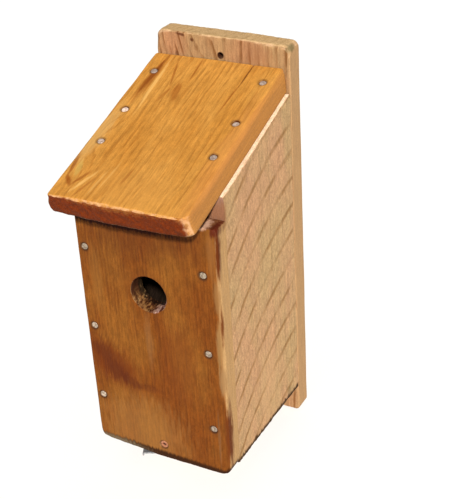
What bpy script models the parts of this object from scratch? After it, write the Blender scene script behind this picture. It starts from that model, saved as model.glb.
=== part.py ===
"""Cedar nest box: six boards, their nails, a hinged clean-out floor, a turn button and a lock screw.

Box coordinates, in millimetres, are used to shape everything: x to the right seen from the front,
y from the front board's face towards the wall, z up from the lower edge of the side boards.
The finished object stands with its origin in the middle of the back board's rear face.
"""

import math

import bmesh
import bpy
from mathutils import Euler, Matrix, Vector

MM = 0.001
GAP = 0.3

# Boards.
FRONT_HALF_WIDTH = 70.0
FRONT_THICK = 19.0
FRONT_TOP = 255.5
FRONT_BOTTOM_LEFT = 2.8
FRONT_BOTTOM_MID = -0.6
FRONT_BOTTOM_RIGHT = -0.9
SIDE_THICK = 19.0
LEFT_OUTER = -69.0
RIGHT_OUTER = 68.5
BACK_FACE = 151.0
BACK_THICK = 20.0
BACK_LEFT = -66.0
BACK_RIGHT = 68.5
BACK_BOTTOM = -28.5
BACK_TOP_LEFT = 361.0
BACK_TOP_RIGHT = 357.5
ROOF_SLOPE = math.radians(17.7)
ROOF_THICK = 20.5
ROOF_LENGTH = 195.0
ROOF_LEFT = -67.0
ROOF_RIGHT = 64.4
ROOF_FRONT_Y = -34.8
ROOF_FRONT_Z = 280.6
FLOOR_THICK = 19.0
FLOOR_SIDE_GAP = 0.8
FLOOR_SWING_GAP = 2.3
EASED_EDGE = 0.9
CORNER_STEPS = 6

# Entrance and mounting holes.
ENTRANCE_X = -0.8
ENTRANCE_Z = 178.2
ENTRANCE_RADIUS = 17.5
ENTRANCE_STEPS = 64
MOUNT_HOLE_X = 0.3
MOUNT_HOLE_Z = 344.0
MOUNT_HOLE_RADIUS = 2.6

# Nails, all of one size.
NAIL_LENGTH = 45.0
NAIL_RADIUS = 1.25
NAIL_HEAD_RADIUS = 3.1
NAIL_HEAD_THICK = 1.1
NAIL_POINT = 3.0
NAIL_SINK = 0.35
NAIL_STEPS = 16
FRONT_NAIL_LEFT_X = -62.8
FRONT_NAIL_RIGHT_X = 55.0
FRONT_NAIL_HEIGHTS = ((213.0, 131.0, 54.0), (209.7, 130.8, 49.4))
ROOF_NAIL_LEFT_X = -55.2
ROOF_NAIL_RIGHT_X = 52.4
ROOF_NAIL_REACH = ((70.1, 113.2, 168.5), (73.6, 116.9, 172.5))
BACK_NAIL_LEFT_X = -57.5
BACK_NAIL_RIGHT_X = 59.0
BACK_NAIL_HEIGHTS = (36.0, 140.0, 244.0)

# Screws.
SCREW_STEPS = 20
LOCK_X = -0.2
LOCK_Z = 14.3
LOCK_HEAD_RADIUS = 3.7
LOCK_HEAD_DEPTH = 2.8
LOCK_RADIUS = 1.9
LOCK_LENGTH = 20.6
LOCK_SINK = 0.7
SMALL_HEAD_RADIUS = 2.7
SMALL_HEAD_DEPTH = 1.7
SMALL_RADIUS = 1.2
SMALL_LENGTH = 12.0
PAN_HEAD_RADIUS = 3.2
PAN_HEAD_HEIGHT = 2.1
PAN_RADIUS = 1.6
PAN_LENGTH = 18.0
RECESS_WIDTH = 0.8
RECESS_ARM = 1.5
RECESS_DEPTH = 1.3

# Turn button under the front board.
BUTTON_X = -9.5
BUTTON_Y = 10.0
BUTTON_TOP = -1.3
BUTTON_THICK = 1.2
BUTTON_WIDTH = 11.0
BUTTON_ARM = 18.5
BUTTON_TAIL = 6.5
BUTTON_TURN = math.radians(205.0)
BUTTON_LIP_DROP = 3.6

# Hinge under the floor.
HINGE_HALF_LENGTH = 25.0
HINGE_KNUCKLE_HALF = 8.0
HINGE_RADIUS = 2.2
HINGE_PIN_RADIUS = 1.0
HINGE_LEAF_THICK = 1.2
HINGE_FLOOR_LEAF = 24.0
HINGE_BACK_LEAF = 20.0
HINGE_SCREW_X = 16.5
HINGE_Y = BACK_FACE - GAP - HINGE_RADIUS
HINGE_Z = -GAP - HINGE_RADIUS
HINGE_STEPS = 20

BACK_REAR = BACK_FACE + BACK_THICK
ORIGIN_Z = 166.0
HINGE_POINT = Vector((0.0, HINGE_Y, HINGE_Z))
BUTTON_POINT = Vector((BUTTON_X, BUTTON_Y, BUTTON_TOP))
TURN_XZ = Euler((math.radians(90.0), 0.0, 0.0)).to_matrix().to_4x4()
TURN_YZ = Euler((math.radians(90.0), 0.0, math.radians(90.0))).to_matrix().to_4x4()


def start_clean():
    for old in list(bpy.data.objects):
        bpy.data.objects.remove(old, do_unlink=True)
    groups = []
    for name in ("birdhouse", "cutters"):
        group = bpy.data.collections.new(name)
        bpy.context.scene.collection.children.link(group)
        groups.append(group)
    return groups


PARTS, CUTTERS = start_clean()


def paint(name, colour, roughness, metallic=0.0):
    material = bpy.data.materials.new(name)
    material.use_nodes = True
    shader = material.node_tree.nodes["Principled BSDF"]
    shader.inputs["Base Color"].default_value = (*colour, 1.0)
    shader.inputs["Roughness"].default_value = roughness
    shader.inputs["Metallic"].default_value = metallic
    return material


CEDAR_FRONT = paint("cedar_front", (0.36, 0.125, 0.032), 0.6)
CEDAR_SIDE = paint("cedar_side", (0.58, 0.36, 0.18), 0.8)
CEDAR_BACK = paint("cedar_back", (0.54, 0.29, 0.14), 0.75)
CEDAR_ROOF = paint("cedar_roof", (0.68, 0.32, 0.08), 0.6)
CEDAR_FLOOR = paint("cedar_floor", (0.5, 0.28, 0.13), 0.8)
NAIL_STEEL = paint("nail_steel", (0.56, 0.55, 0.53), 0.4, 1.0)
ZINC = paint("zinc_plate", (0.5, 0.51, 0.52), 0.45, 1.0)
COPPERED = paint("coppered_steel", (0.62, 0.3, 0.16), 0.35, 1.0)


def box_frame(matrix):
    """A placement in box millimetres, as one in finished metres."""
    shift = Matrix.Translation(Vector((0.0, -BACK_REAR, -ORIGIN_Z)) * MM)
    moved = matrix.copy()
    moved.translation = matrix.translation * MM
    return shift @ moved


def finish(mesh, name, material, anchor, rounded):
    """Stands a mesh made in place on its own origin and gives it its material."""
    home = box_frame(Matrix.Translation(anchor)).translation
    mesh.transform(Matrix.Translation(-home))
    mesh.materials.clear()
    mesh.materials.append(material)
    part = bpy.data.objects.new(name, mesh)
    part.location = home
    PARTS.objects.link(part)
    if rounded:
        smooth(mesh)
    return part


def smooth(mesh):
    for polygon in mesh.polygons:
        polygon.use_smooth = True
    mesh.set_sharp_from_angle(angle=math.radians(35.0))


def hide(cutter):
    cutter.hide_render = True
    cutter.display_type = "WIRE"
    return cutter


def rounded_outline(corners):
    """Outline points from (x, y, radius) corners, given anticlockwise, each rounded by an arc."""
    points = []
    count = len(corners)
    for i, (x, y, radius) in enumerate(corners):
        here = Vector((x, y))
        if radius == 0.0:
            points.append(here)
            continue
        before = (Vector(corners[i - 1][:2]) - here).normalized()
        after = (Vector(corners[(i + 1) % count][:2]) - here).normalized()
        half = math.acos(max(-1.0, min(1.0, before.dot(after)))) / 2.0
        centre = here + (before + after).normalized() * (radius / math.sin(half))
        reach = radius / math.tan(half)
        first = here + before * reach - centre
        last = here + after * reach - centre
        sweep = math.atan2(first.x * last.y - first.y * last.x, first.dot(last))
        for step in range(CORNER_STEPS + 1):
            angle = sweep * step / CORNER_STEPS
            turned = Matrix.Rotation(angle, 2) @ first
            points.append(centre + turned)
    return points


def slab(points, thickness, placement):
    """A flat piece cut to an outline, centred on its own thickness, as a mesh in finished metres."""
    curve = bpy.data.curves.new("outline", "CURVE")
    curve.dimensions = "2D"
    curve.fill_mode = "BOTH"
    curve.extrude = thickness * MM / 2.0
    spline = curve.splines.new("POLY")
    spline.points.add(len(points) - 1)
    for point, (x, y) in zip(spline.points, points):
        point.co = (x * MM, y * MM, 0.0, 1.0)
    spline.use_cyclic_u = True
    carrier = bpy.data.objects.new("outline", curve)
    PARTS.objects.link(carrier)
    carrier.matrix_world = box_frame(placement)
    return as_mesh(carrier)


def as_mesh(carrier):
    bpy.context.view_layer.update()
    graph = bpy.context.evaluated_depsgraph_get()
    mesh = bpy.data.meshes.new_from_object(carrier.evaluated_get(graph))
    mesh.transform(carrier.matrix_world)
    bpy.data.objects.remove(carrier, do_unlink=True)
    shaped = bmesh.new()
    shaped.from_mesh(mesh)
    bmesh.ops.remove_doubles(shaped, verts=shaped.verts, dist=1e-6)
    bmesh.ops.recalc_face_normals(shaped, faces=shaped.faces)
    shaped.to_mesh(mesh)
    shaped.free()
    return mesh


def ease(part, width, segments=2):
    bevel = part.modifiers.new("eased_edges", "BEVEL")
    bevel.width = width * MM
    bevel.segments = segments
    bevel.limit_method = "ANGLE"
    bevel.angle_limit = math.radians(35.0)


def turned(profile, steps, placement):
    """A turned piece about its own Z, from (radius, height) points running down its outer side."""
    mesh = bpy.data.meshes.new("profile")
    points = [(radius * MM, 0.0, height * MM) for radius, height in profile]
    mesh.from_pydata(points, [(i, i + 1) for i in range(len(points) - 1)], [])
    carrier = bpy.data.objects.new("profile", mesh)
    PARTS.objects.link(carrier)
    screw = carrier.modifiers.new("turn", "SCREW")
    screw.steps = steps
    screw.render_steps = steps
    screw.use_merge_vertices = True
    screw.merge_threshold = 0.00001
    screw.use_normal_calculate = True
    carrier.matrix_world = box_frame(placement)
    return as_mesh(carrier)


def cutter_from(mesh, name):
    cutter = bpy.data.objects.new(name, mesh)
    CUTTERS.objects.link(cutter)
    return hide(cutter)


def cut(part, cutter, operation="DIFFERENCE"):
    boolean = part.modifiers.new(cutter.name, "BOOLEAN")
    boolean.operation = operation
    boolean.solver = "EXACT"
    boolean.object = cutter


def pointing(point, direction):
    """A placement whose Z looks back out of the hole: the fastener hangs down its own -Z."""
    spin = Vector(direction).normalized().to_track_quat("-Z", "Y").to_matrix().to_4x4()
    return Matrix.Translation(Vector(point)) @ spin


# Boards.

def roof_point(reach, depth):
    """A point in the roof's section: reach up the slope from the front, depth below its top."""
    along = Vector((0.0, math.cos(ROOF_SLOPE), math.sin(ROOF_SLOPE)))
    down = Vector((0.0, math.sin(ROOF_SLOPE), -math.cos(ROOF_SLOPE)))
    return Vector((0.0, ROOF_FRONT_Y, ROOF_FRONT_Z)) + along * reach + down * depth


def underside(y):
    """Height of the roof board's underside at a depth y."""
    edge = roof_point(0.0, ROOF_THICK)
    return edge.z + (y - edge.y) * math.tan(ROOF_SLOPE)


def upright_board(name, corners, front_y, thickness, material):
    placement = Matrix.Translation((0.0, front_y + thickness / 2.0, 0.0)) @ TURN_XZ
    mesh = slab(rounded_outline(corners), thickness, placement)
    middle = Vector((0.0, front_y + thickness / 2.0, ORIGIN_Z))
    part = finish(mesh, name, material, middle, False)
    ease(part, EASED_EDGE)
    return part


def front_board():
    corners = (
        (-FRONT_HALF_WIDTH, FRONT_BOTTOM_LEFT, 3.5),
        (-10.0, FRONT_BOTTOM_MID, 0.0),
        (FRONT_HALF_WIDTH, FRONT_BOTTOM_RIGHT, 6.0),
        (FRONT_HALF_WIDTH, FRONT_TOP, 0.0),
        (-FRONT_HALF_WIDTH, FRONT_TOP, 0.0),
    )
    return upright_board("front_board", corners, 0.0, FRONT_THICK, CEDAR_FRONT)


def back_board():
    corners = (
        (BACK_LEFT, BACK_BOTTOM, 9.0),
        (BACK_RIGHT, BACK_BOTTOM, 9.0),
        (BACK_RIGHT, BACK_TOP_RIGHT, 8.0),
        (28.0, BACK_TOP_LEFT - 0.6, 0.0),
        (BACK_LEFT, BACK_TOP_LEFT, 8.0),
    )
    return upright_board("back_board", corners, BACK_FACE, BACK_THICK, CEDAR_BACK)


def side_board(name, outer, inner):
    front = FRONT_THICK + GAP
    rear = BACK_FACE - GAP
    points = (
        Vector((front, 0.0)),
        Vector((rear, 0.0)),
        Vector((rear, underside(rear) - GAP)),
        Vector((front, underside(front) - GAP)),
    )
    centre = (outer + inner) / 2.0
    mesh = slab(points, SIDE_THICK, Matrix.Translation((centre, 0.0, 0.0)) @ TURN_YZ)
    part = finish(mesh, name, CEDAR_SIDE, Vector((centre, BACK_FACE / 2.0, ORIGIN_Z)), False)
    ease(part, EASED_EDGE)
    return part


def roof_board():
    rear = BACK_FACE - GAP
    edge = roof_point(0.0, 0.0)
    top_rear = edge.z + (rear - edge.y) * math.tan(ROOF_SLOPE)
    low_front = roof_point(0.0, ROOF_THICK)
    points = (
        Vector((low_front.y, low_front.z)),
        Vector((rear, underside(rear))),
        Vector((rear, top_rear)),
        Vector((edge.y, edge.z)),
    )
    centre = (ROOF_LEFT + ROOF_RIGHT) / 2.0
    width = ROOF_RIGHT - ROOF_LEFT
    mesh = slab(points, width, Matrix.Translation((centre, 0.0, 0.0)) @ TURN_YZ)
    part = finish(mesh, "roof_board", CEDAR_ROOF, roof_point(ROOF_LENGTH / 2.0, 0.0), False)
    ease(part, 1.4)
    return part


def floor_board(left, right):
    front = FRONT_THICK + FLOOR_SWING_GAP
    rear = BACK_FACE - 2.0 * GAP
    points = (
        Vector((left, front)),
        Vector((right, front)),
        Vector((right, rear)),
        Vector((left, rear)),
    )
    mesh = slab(points, FLOOR_THICK, Matrix.Translation((0.0, 0.0, FLOOR_THICK / 2.0)))
    part = finish(mesh, "floor_board", CEDAR_FLOOR, HINGE_POINT, False)
    ease(part, EASED_EDGE)
    return part


# Fasteners.

def nail_profile(grow):
    """The nail's outer side from its head down, or its hole when grown by the fitting gap."""
    lift = 2.0 if grow else 0.0
    return (
        (0.0, lift - NAIL_SINK),
        (NAIL_HEAD_RADIUS + grow, lift - NAIL_SINK),
        (NAIL_HEAD_RADIUS + grow, -NAIL_SINK - NAIL_HEAD_THICK - grow),
        (NAIL_RADIUS + grow, -NAIL_SINK - NAIL_HEAD_THICK - grow),
        (NAIL_RADIUS + grow, NAIL_POINT - NAIL_LENGTH),
        (0.0, -NAIL_LENGTH - grow),
    )


def countersunk_profile(head, depth, radius, length, sink, grow):
    lift = 2.0 if grow else 0.0
    tip = radius * 1.6
    return (
        (0.0, lift - sink),
        (head + grow, lift - sink),
        (head + grow, -sink - 0.4),
        (radius + grow, -sink - depth - grow),
        (radius + grow, tip - length),
        (0.0, -length - grow),
    )


def pan_profile(grow):
    shoulder = PAN_HEAD_RADIUS * 0.75
    if grow:
        return (
            (0.0, 0.0),
            (PAN_RADIUS + grow, 0.0),
            (PAN_RADIUS + grow, PAN_RADIUS - PAN_LENGTH),
            (0.0, -PAN_LENGTH - grow),
        )
    return (
        (0.0, PAN_HEAD_HEIGHT),
        (shoulder, PAN_HEAD_HEIGHT),
        (PAN_HEAD_RADIUS, PAN_HEAD_HEIGHT * 0.5),
        (PAN_HEAD_RADIUS, 0.0),
        (PAN_RADIUS, 0.0),
        (PAN_RADIUS, PAN_RADIUS - PAN_LENGTH),
        (0.0, -PAN_LENGTH),
    )


def nail(name, point, direction, boards):
    placement = pointing(point, direction)
    mesh = turned(nail_profile(0.0), NAIL_STEPS, placement)
    finish(mesh, name, NAIL_STEEL, Vector(point), True)
    hole = cutter_from(turned(nail_profile(GAP), NAIL_STEPS, placement), name + "_hole")
    for board in boards:
        cut(board, hole)


def cross_recess(name, point, direction, top):
    """The cross-shaped driver recess cut into a screw's head."""
    placement = pointing(point, direction) @ Matrix.Translation((0.0, 0.0, top))
    half = RECESS_WIDTH / 2.0
    arm = RECESS_ARM
    end = half * 0.8
    ring = (
        (half, half), (end, arm), (-end, arm), (-half, half),
        (-arm, end), (-arm, -end), (-half, -half), (-end, -arm),
        (end, -arm), (half, -half), (arm, -end), (arm, end),
    )
    return cutter_from(slab(ring, RECESS_DEPTH * 2.0, placement), name + "_recess")


def countersunk(name, point, direction, size, anchor, material, boards):
    head, depth, radius, length, sink = size
    placement = pointing(point, direction)
    mesh = turned(countersunk_profile(head, depth, radius, length, sink, 0.0), SCREW_STEPS, placement)
    part = finish(mesh, name, material, anchor, True)
    cut(part, cross_recess(name, point, direction, -sink))
    grown = countersunk_profile(head, depth, radius, length, sink, GAP)
    hole = cutter_from(turned(grown, SCREW_STEPS, placement), name + "_hole")
    for board in boards:
        cut(board, hole)
    return part


# The floor's hinge.

def bar_along_x(radius, x0, x1, steps, name):
    """A round bar lying on the hinge's axis, as a cutter or a piece to join on."""
    half = (x1 - x0) / 2.0
    placement = Matrix.Translation(((x0 + x1) / 2.0, HINGE_Y, HINGE_Z))
    placement = placement @ Euler((0.0, math.radians(90.0), 0.0)).to_matrix().to_4x4()
    profile = ((0.0, half), (radius, half), (radius, -half), (0.0, -half))
    return cutter_from(turned(profile, steps, placement), name)


def floor_leaf():
    """The moving leaf, lying under the floor with the middle knuckle."""
    near = HINGE_Y - HINGE_FLOOR_LEAF
    tab = HINGE_KNUCKLE_HALF - 0.2
    outline = rounded_outline((
        (-HINGE_HALF_LENGTH, near, 3.0),
        (HINGE_HALF_LENGTH, near, 3.0),
        (HINGE_HALF_LENGTH, HINGE_Y - HINGE_RADIUS - 0.6, 0.0),
        (tab, HINGE_Y - HINGE_RADIUS - 0.6, 0.0),
        (tab, HINGE_Y, 0.0),
        (-tab, HINGE_Y, 0.0),
        (-tab, HINGE_Y - HINGE_RADIUS - 0.6, 0.0),
        (-HINGE_HALF_LENGTH, HINGE_Y - HINGE_RADIUS - 0.6, 0.0),
    ))
    middle = -GAP - HINGE_LEAF_THICK / 2.0
    mesh = slab(outline, HINGE_LEAF_THICK, Matrix.Translation((0.0, 0.0, middle)))
    part = finish(mesh, "hinge_floor_leaf", ZINC, HINGE_POINT, True)
    inner = HINGE_KNUCKLE_HALF
    cut(part, bar_along_x(HINGE_RADIUS, -inner, inner, HINGE_STEPS, "floor_knuckle"), "UNION")
    bore = HINGE_PIN_RADIUS + GAP
    cut(part, bar_along_x(bore, -inner - 2.0, inner + 2.0, HINGE_STEPS, "floor_bore"))
    return part


def back_leaf():
    """The fixed leaf, standing on the back board's face below the floor, with the outer knuckles."""
    low = HINGE_Z - HINGE_BACK_LEAF
    notch = HINGE_KNUCKLE_HALF + GAP
    under = HINGE_Z - HINGE_RADIUS - 0.6
    outline = rounded_outline((
        (-HINGE_HALF_LENGTH, low, 3.0),
        (HINGE_HALF_LENGTH, low, 3.0),
        (HINGE_HALF_LENGTH, HINGE_Z, 0.0),
        (notch, HINGE_Z, 0.0),
        (notch, under, 0.0),
        (-notch, under, 0.0),
        (-notch, HINGE_Z, 0.0),
        (-HINGE_HALF_LENGTH, HINGE_Z, 0.0),
    ))
    middle = BACK_FACE - GAP - HINGE_LEAF_THICK / 2.0
    mesh = slab(outline, HINGE_LEAF_THICK, Matrix.Translation((0.0, middle, 0.0)) @ TURN_XZ)
    part = finish(mesh, "hinge_back_leaf", ZINC, HINGE_POINT, True)
    far = HINGE_HALF_LENGTH
    cut(part, bar_along_x(HINGE_RADIUS, notch, far, HINGE_STEPS, "right_knuckle"), "UNION")
    cut(part, bar_along_x(HINGE_RADIUS, -far, -notch, HINGE_STEPS, "left_knuckle"), "UNION")
    bore = HINGE_PIN_RADIUS + GAP
    cut(part, bar_along_x(bore, -far - 2.0, far + 2.0, HINGE_STEPS, "back_bore"))
    return part


def hinge_pin():
    half = HINGE_HALF_LENGTH - 0.5
    placement = Matrix.Translation((0.0, HINGE_Y, HINGE_Z))
    placement = placement @ Euler((0.0, math.radians(90.0), 0.0)).to_matrix().to_4x4()
    radius = HINGE_PIN_RADIUS
    profile = ((0.0, half), (radius, half), (radius, -half), (0.0, -half))
    mesh = turned(profile, HINGE_STEPS, placement)
    return finish(mesh, "hinge_pin", ZINC, HINGE_POINT, True)


# The turn button.

def turn_button():
    """A stamped plate turning on its screw, with a finger lip bent down at the long end."""
    spin = Matrix.Rotation(BUTTON_TURN, 4, "Z")
    half = BUTTON_WIDTH / 2.0
    outline = rounded_outline((
        (-BUTTON_TAIL, -half, half * 0.8),
        (BUTTON_ARM, -half, 2.0),
        (BUTTON_ARM, half, 2.0),
        (-BUTTON_TAIL, half, half * 0.8),
    ))
    middle = BUTTON_TOP - BUTTON_THICK / 2.0
    placement = Matrix.Translation((BUTTON_X, BUTTON_Y, middle)) @ spin
    mesh = slab(outline, BUTTON_THICK, placement)
    part = finish(mesh, "turn_button", ZINC, BUTTON_POINT, True)
    lip_half = half - 1.0
    drop = BUTTON_LIP_DROP + BUTTON_THICK / 2.0
    lip_end = BUTTON_ARM - 0.2
    lip = rounded_outline((
        (-lip_half, -BUTTON_THICK / 2.0 - drop, 2.5),
        (lip_half, -BUTTON_THICK / 2.0 - drop, 2.5),
        (lip_half, -BUTTON_THICK / 4.0, 0.0),
        (-lip_half, -BUTTON_THICK / 4.0, 0.0),
    ))
    stand = Matrix.Translation((BUTTON_X, BUTTON_Y, BUTTON_TOP)) @ spin
    stand = stand @ Matrix.Translation((lip_end - BUTTON_THICK / 2.0, 0.0, 0.0)) @ TURN_YZ
    cut(part, cutter_from(slab(lip, BUTTON_THICK, stand), "finger_lip"), "UNION")
    hole_radius = PAN_RADIUS + GAP
    hole = ((0.0, 3.0), (hole_radius, 3.0), (hole_radius, -3.0), (0.0, -3.0))
    centre = Matrix.Translation((BUTTON_X, BUTTON_Y, middle))
    cut(part, cutter_from(turned(hole, SCREW_STEPS, centre), "button_eye"))
    return part


def button_screw(board):
    seat = (BUTTON_X, BUTTON_Y, BUTTON_TOP - BUTTON_THICK - GAP)
    up = (0.0, 0.0, 1.0)
    placement = pointing(seat, up)
    mesh = turned(pan_profile(0.0), SCREW_STEPS, placement)
    part = finish(mesh, "button_screw", ZINC, Vector(seat), True)
    cut(part, cross_recess("button_screw", seat, up, PAN_HEAD_HEIGHT))
    cut(board, cutter_from(turned(pan_profile(GAP), SCREW_STEPS, placement), "button_screw_hole"))


# Assembly.

front = front_board()
back = back_board()
left_side = side_board("left_side_board", LEFT_OUTER, LEFT_OUTER + SIDE_THICK)
right_side = side_board("right_side_board", RIGHT_OUTER, RIGHT_OUTER - SIDE_THICK)
roof = roof_board()
floor_left = LEFT_OUTER + SIDE_THICK + FLOOR_SIDE_GAP
floor_right = RIGHT_OUTER - SIDE_THICK - FLOOR_SIDE_GAP
floor = floor_board(floor_left, floor_right)

entrance = ((0.0, 30.0), (ENTRANCE_RADIUS, 30.0), (ENTRANCE_RADIUS, -30.0), (0.0, -30.0))
entrance_at = pointing((ENTRANCE_X, FRONT_THICK / 2.0, ENTRANCE_Z), (0.0, 1.0, 0.0))
cut(front, cutter_from(turned(entrance, ENTRANCE_STEPS, entrance_at), "entrance_hole"))

mount = ((0.0, 30.0), (MOUNT_HOLE_RADIUS, 30.0), (MOUNT_HOLE_RADIUS, -30.0), (0.0, -30.0))
mount_at = pointing((MOUNT_HOLE_X, BACK_FACE + BACK_THICK / 2.0, MOUNT_HOLE_Z), (0.0, 1.0, 0.0))
cut(back, cutter_from(turned(mount, SCREW_STEPS, mount_at), "mounting_hole"))

INTO_BOX = (0.0, 1.0, 0.0)
INTO_ROOF = (0.0, math.sin(ROOF_SLOPE), -math.cos(ROOF_SLOPE))
OUT_OF_WALL = (0.0, -1.0, 0.0)
for side_name, side, index, front_x, roof_x, back_x in (
    ("left", left_side, 0, FRONT_NAIL_LEFT_X, ROOF_NAIL_LEFT_X, BACK_NAIL_LEFT_X),
    ("right", right_side, 1, FRONT_NAIL_RIGHT_X, ROOF_NAIL_RIGHT_X, BACK_NAIL_RIGHT_X),
):
    for number in range(3):
        label = side_name + "_" + str(number + 1)
        height = FRONT_NAIL_HEIGHTS[index][number]
        nail("front_nail_" + label, (front_x, 0.0, height), INTO_BOX, (front, side))
        reach = roof_point(ROOF_NAIL_REACH[index][number], 0.0)
        nail("roof_nail_" + label, (roof_x, reach.y, reach.z), INTO_ROOF, (roof, side))
        height = BACK_NAIL_HEIGHTS[number]
        nail("back_nail_" + label, (back_x, BACK_REAR, height), OUT_OF_WALL, (back, side))

LOCK_SIZE = (LOCK_HEAD_RADIUS, LOCK_HEAD_DEPTH, LOCK_RADIUS, LOCK_LENGTH, LOCK_SINK)
lock_at = Vector((LOCK_X, 0.0, LOCK_Z))
countersunk("floor_lock_screw", lock_at, INTO_BOX, LOCK_SIZE, lock_at, COPPERED, (front,))

SMALL_SIZE = (SMALL_HEAD_RADIUS, SMALL_HEAD_DEPTH, SMALL_RADIUS, SMALL_LENGTH, 0.0)
fixed_leaf = back_leaf()
under_floor = -GAP - HINGE_LEAF_THICK
on_back = BACK_FACE - GAP - HINGE_LEAF_THICK
moving_leaf = floor_leaf()
for side_name, x in (("left", -HINGE_SCREW_X), ("right", HINGE_SCREW_X)):
    seat = (x, HINGE_Y - HINGE_FLOOR_LEAF * 0.6, under_floor)
    boards = (moving_leaf, floor)
    name = "hinge_floor_screw_" + side_name
    countersunk(name, seat, (0.0, 0.0, 1.0), SMALL_SIZE, HINGE_POINT, ZINC, boards)
    seat = (x, on_back, HINGE_Z - HINGE_BACK_LEAF * 0.6)
    boards = (fixed_leaf, back)
    name = "hinge_back_screw_" + side_name
    countersunk(name, seat, INTO_BOX, SMALL_SIZE, Vector(seat), ZINC, boards)
hinge_pin()

turn_button()
button_screw(front)
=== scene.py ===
"""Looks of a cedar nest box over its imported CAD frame.

Each board is a detailed plank in its own local frame, in millimetres: X across the board,
Y along the grain and Z out of its show face, which lies at Z = 0. Box coordinates, also in
millimetres, run right, towards the wall and up from the front board's face and the lower
edge of the side boards.
"""

import itertools
import math

import bmesh
import bpy
import numpy as np
from mathutils import Matrix, Vector
from mathutils.geometry import delaunay_2d_cdt


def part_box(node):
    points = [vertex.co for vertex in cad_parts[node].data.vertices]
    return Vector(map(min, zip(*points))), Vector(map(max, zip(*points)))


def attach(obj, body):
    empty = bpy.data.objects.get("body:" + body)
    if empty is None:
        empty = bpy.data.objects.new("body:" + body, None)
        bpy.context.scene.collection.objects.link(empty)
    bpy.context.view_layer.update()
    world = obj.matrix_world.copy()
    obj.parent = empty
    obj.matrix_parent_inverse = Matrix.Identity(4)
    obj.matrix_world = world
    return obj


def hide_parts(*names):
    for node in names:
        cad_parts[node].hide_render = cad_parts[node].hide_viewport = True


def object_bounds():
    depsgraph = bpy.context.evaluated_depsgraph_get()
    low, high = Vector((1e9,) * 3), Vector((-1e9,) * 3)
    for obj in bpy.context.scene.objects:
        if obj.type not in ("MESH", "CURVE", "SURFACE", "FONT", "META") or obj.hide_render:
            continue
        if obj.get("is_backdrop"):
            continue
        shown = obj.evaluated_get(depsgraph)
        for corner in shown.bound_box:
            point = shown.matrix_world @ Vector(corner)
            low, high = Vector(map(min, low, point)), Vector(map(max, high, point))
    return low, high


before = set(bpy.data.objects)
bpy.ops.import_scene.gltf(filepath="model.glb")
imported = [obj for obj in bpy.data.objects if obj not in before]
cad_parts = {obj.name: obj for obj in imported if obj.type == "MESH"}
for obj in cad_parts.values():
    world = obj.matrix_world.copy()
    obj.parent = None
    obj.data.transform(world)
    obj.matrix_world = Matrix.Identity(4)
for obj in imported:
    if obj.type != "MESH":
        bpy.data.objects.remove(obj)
CAD_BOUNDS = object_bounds()

MM = 0.001
HOME = Vector((0.0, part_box("front_board")[0].y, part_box("left_side_board")[0].z))
SLOPE = math.radians(17.7)
RISE = math.sin(SLOPE)
RUN = math.cos(SLOPE)


def cad_box(node):
    """The two corners of a CAD node, in box millimetres."""
    low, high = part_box(node)
    return (low - HOME) / MM, (high - HOME) / MM


def middle(node):
    """The centre of a CAD node's box, in box millimetres."""
    low, high = cad_box(node)
    return Vector(((low.x + high.x) / 2.0, (low.y + high.y) / 2.0, (low.z + high.z) / 2.0))


FRONT_LOW, FRONT_HIGH = cad_box("front_board")
BACK_LOW, BACK_HIGH = cad_box("back_board")
RIGHT_LOW, RIGHT_HIGH = cad_box("right_side_board")
ROOF_LOW, ROOF_HIGH = cad_box("roof_board")
FLOOR_LOW, FLOOR_HIGH = cad_box("floor_board")

ROOF_THICK = 20.5
ROOF_EDGE_Y = -34.8
ROOF_EDGE_Z = 280.6
ENTRANCE_X = -0.8
ENTRANCE_Z = 178.2
ENTRANCE_RADIUS = 17.5
MOUNT_HOLE = (0.3, 344.0)
MOUNT_HOLE_RADIUS = 2.6
NAIL_LENGTH = 45.0
NAIL_RADIUS = 1.25
NAIL_HEAD_RADIUS = 3.1
NAIL_HEAD_THICK = 1.1
LOCK_HEAD_RADIUS = 3.7
HINGE_HEAD_RADIUS = 2.7


# Numbers that vary smoothly and repeatably.

def scramble(cells, seed):
    """A repeatable value from -1 to 1 for each whole-number cell."""
    mixed = cells.astype(np.uint64)
    value = mixed[:, 0] * np.uint64(374761393) + mixed[:, 1] * np.uint64(668265263)
    value = value + mixed[:, 2] * np.uint64(2246822519) + np.uint64(seed * 3266489917)
    value = (value ^ (value >> np.uint64(13))) * np.uint64(1274126177)
    value = (value ^ (value >> np.uint64(16))) & np.uint64(0xFFFFFF)
    return value.astype(float) / 8388607.5 - 1.0


def noise(points, size, seed=0, octaves=1):
    """Smooth noise from -1 to 1. size is the length of one swell along each axis."""
    total = np.zeros(len(points))
    strength = 1.0
    spread = 0.0
    scaled = points / np.array(size, float) + 4096.0
    for octave in range(octaves):
        cell = np.floor(scaled)
        part = scaled - cell
        part = part * part * (3.0 - 2.0 * part)
        layer = np.zeros(len(points))
        for corner in itertools.product((0, 1), repeat=3):
            weight = np.prod(np.where(corner, part, 1.0 - part), axis=1)
            layer += weight * scramble(cell + corner, seed + octave)
        total += layer * strength
        spread += strength
        strength *= 0.5
        scaled = scaled * 2.0 + 17.0
    return total / spread


def smooth(low, high, value):
    step = np.clip((value - low) / (high - low), 0.0, 1.0)
    return step * step * (3.0 - 2.0 * step)


# Outlines.

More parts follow.
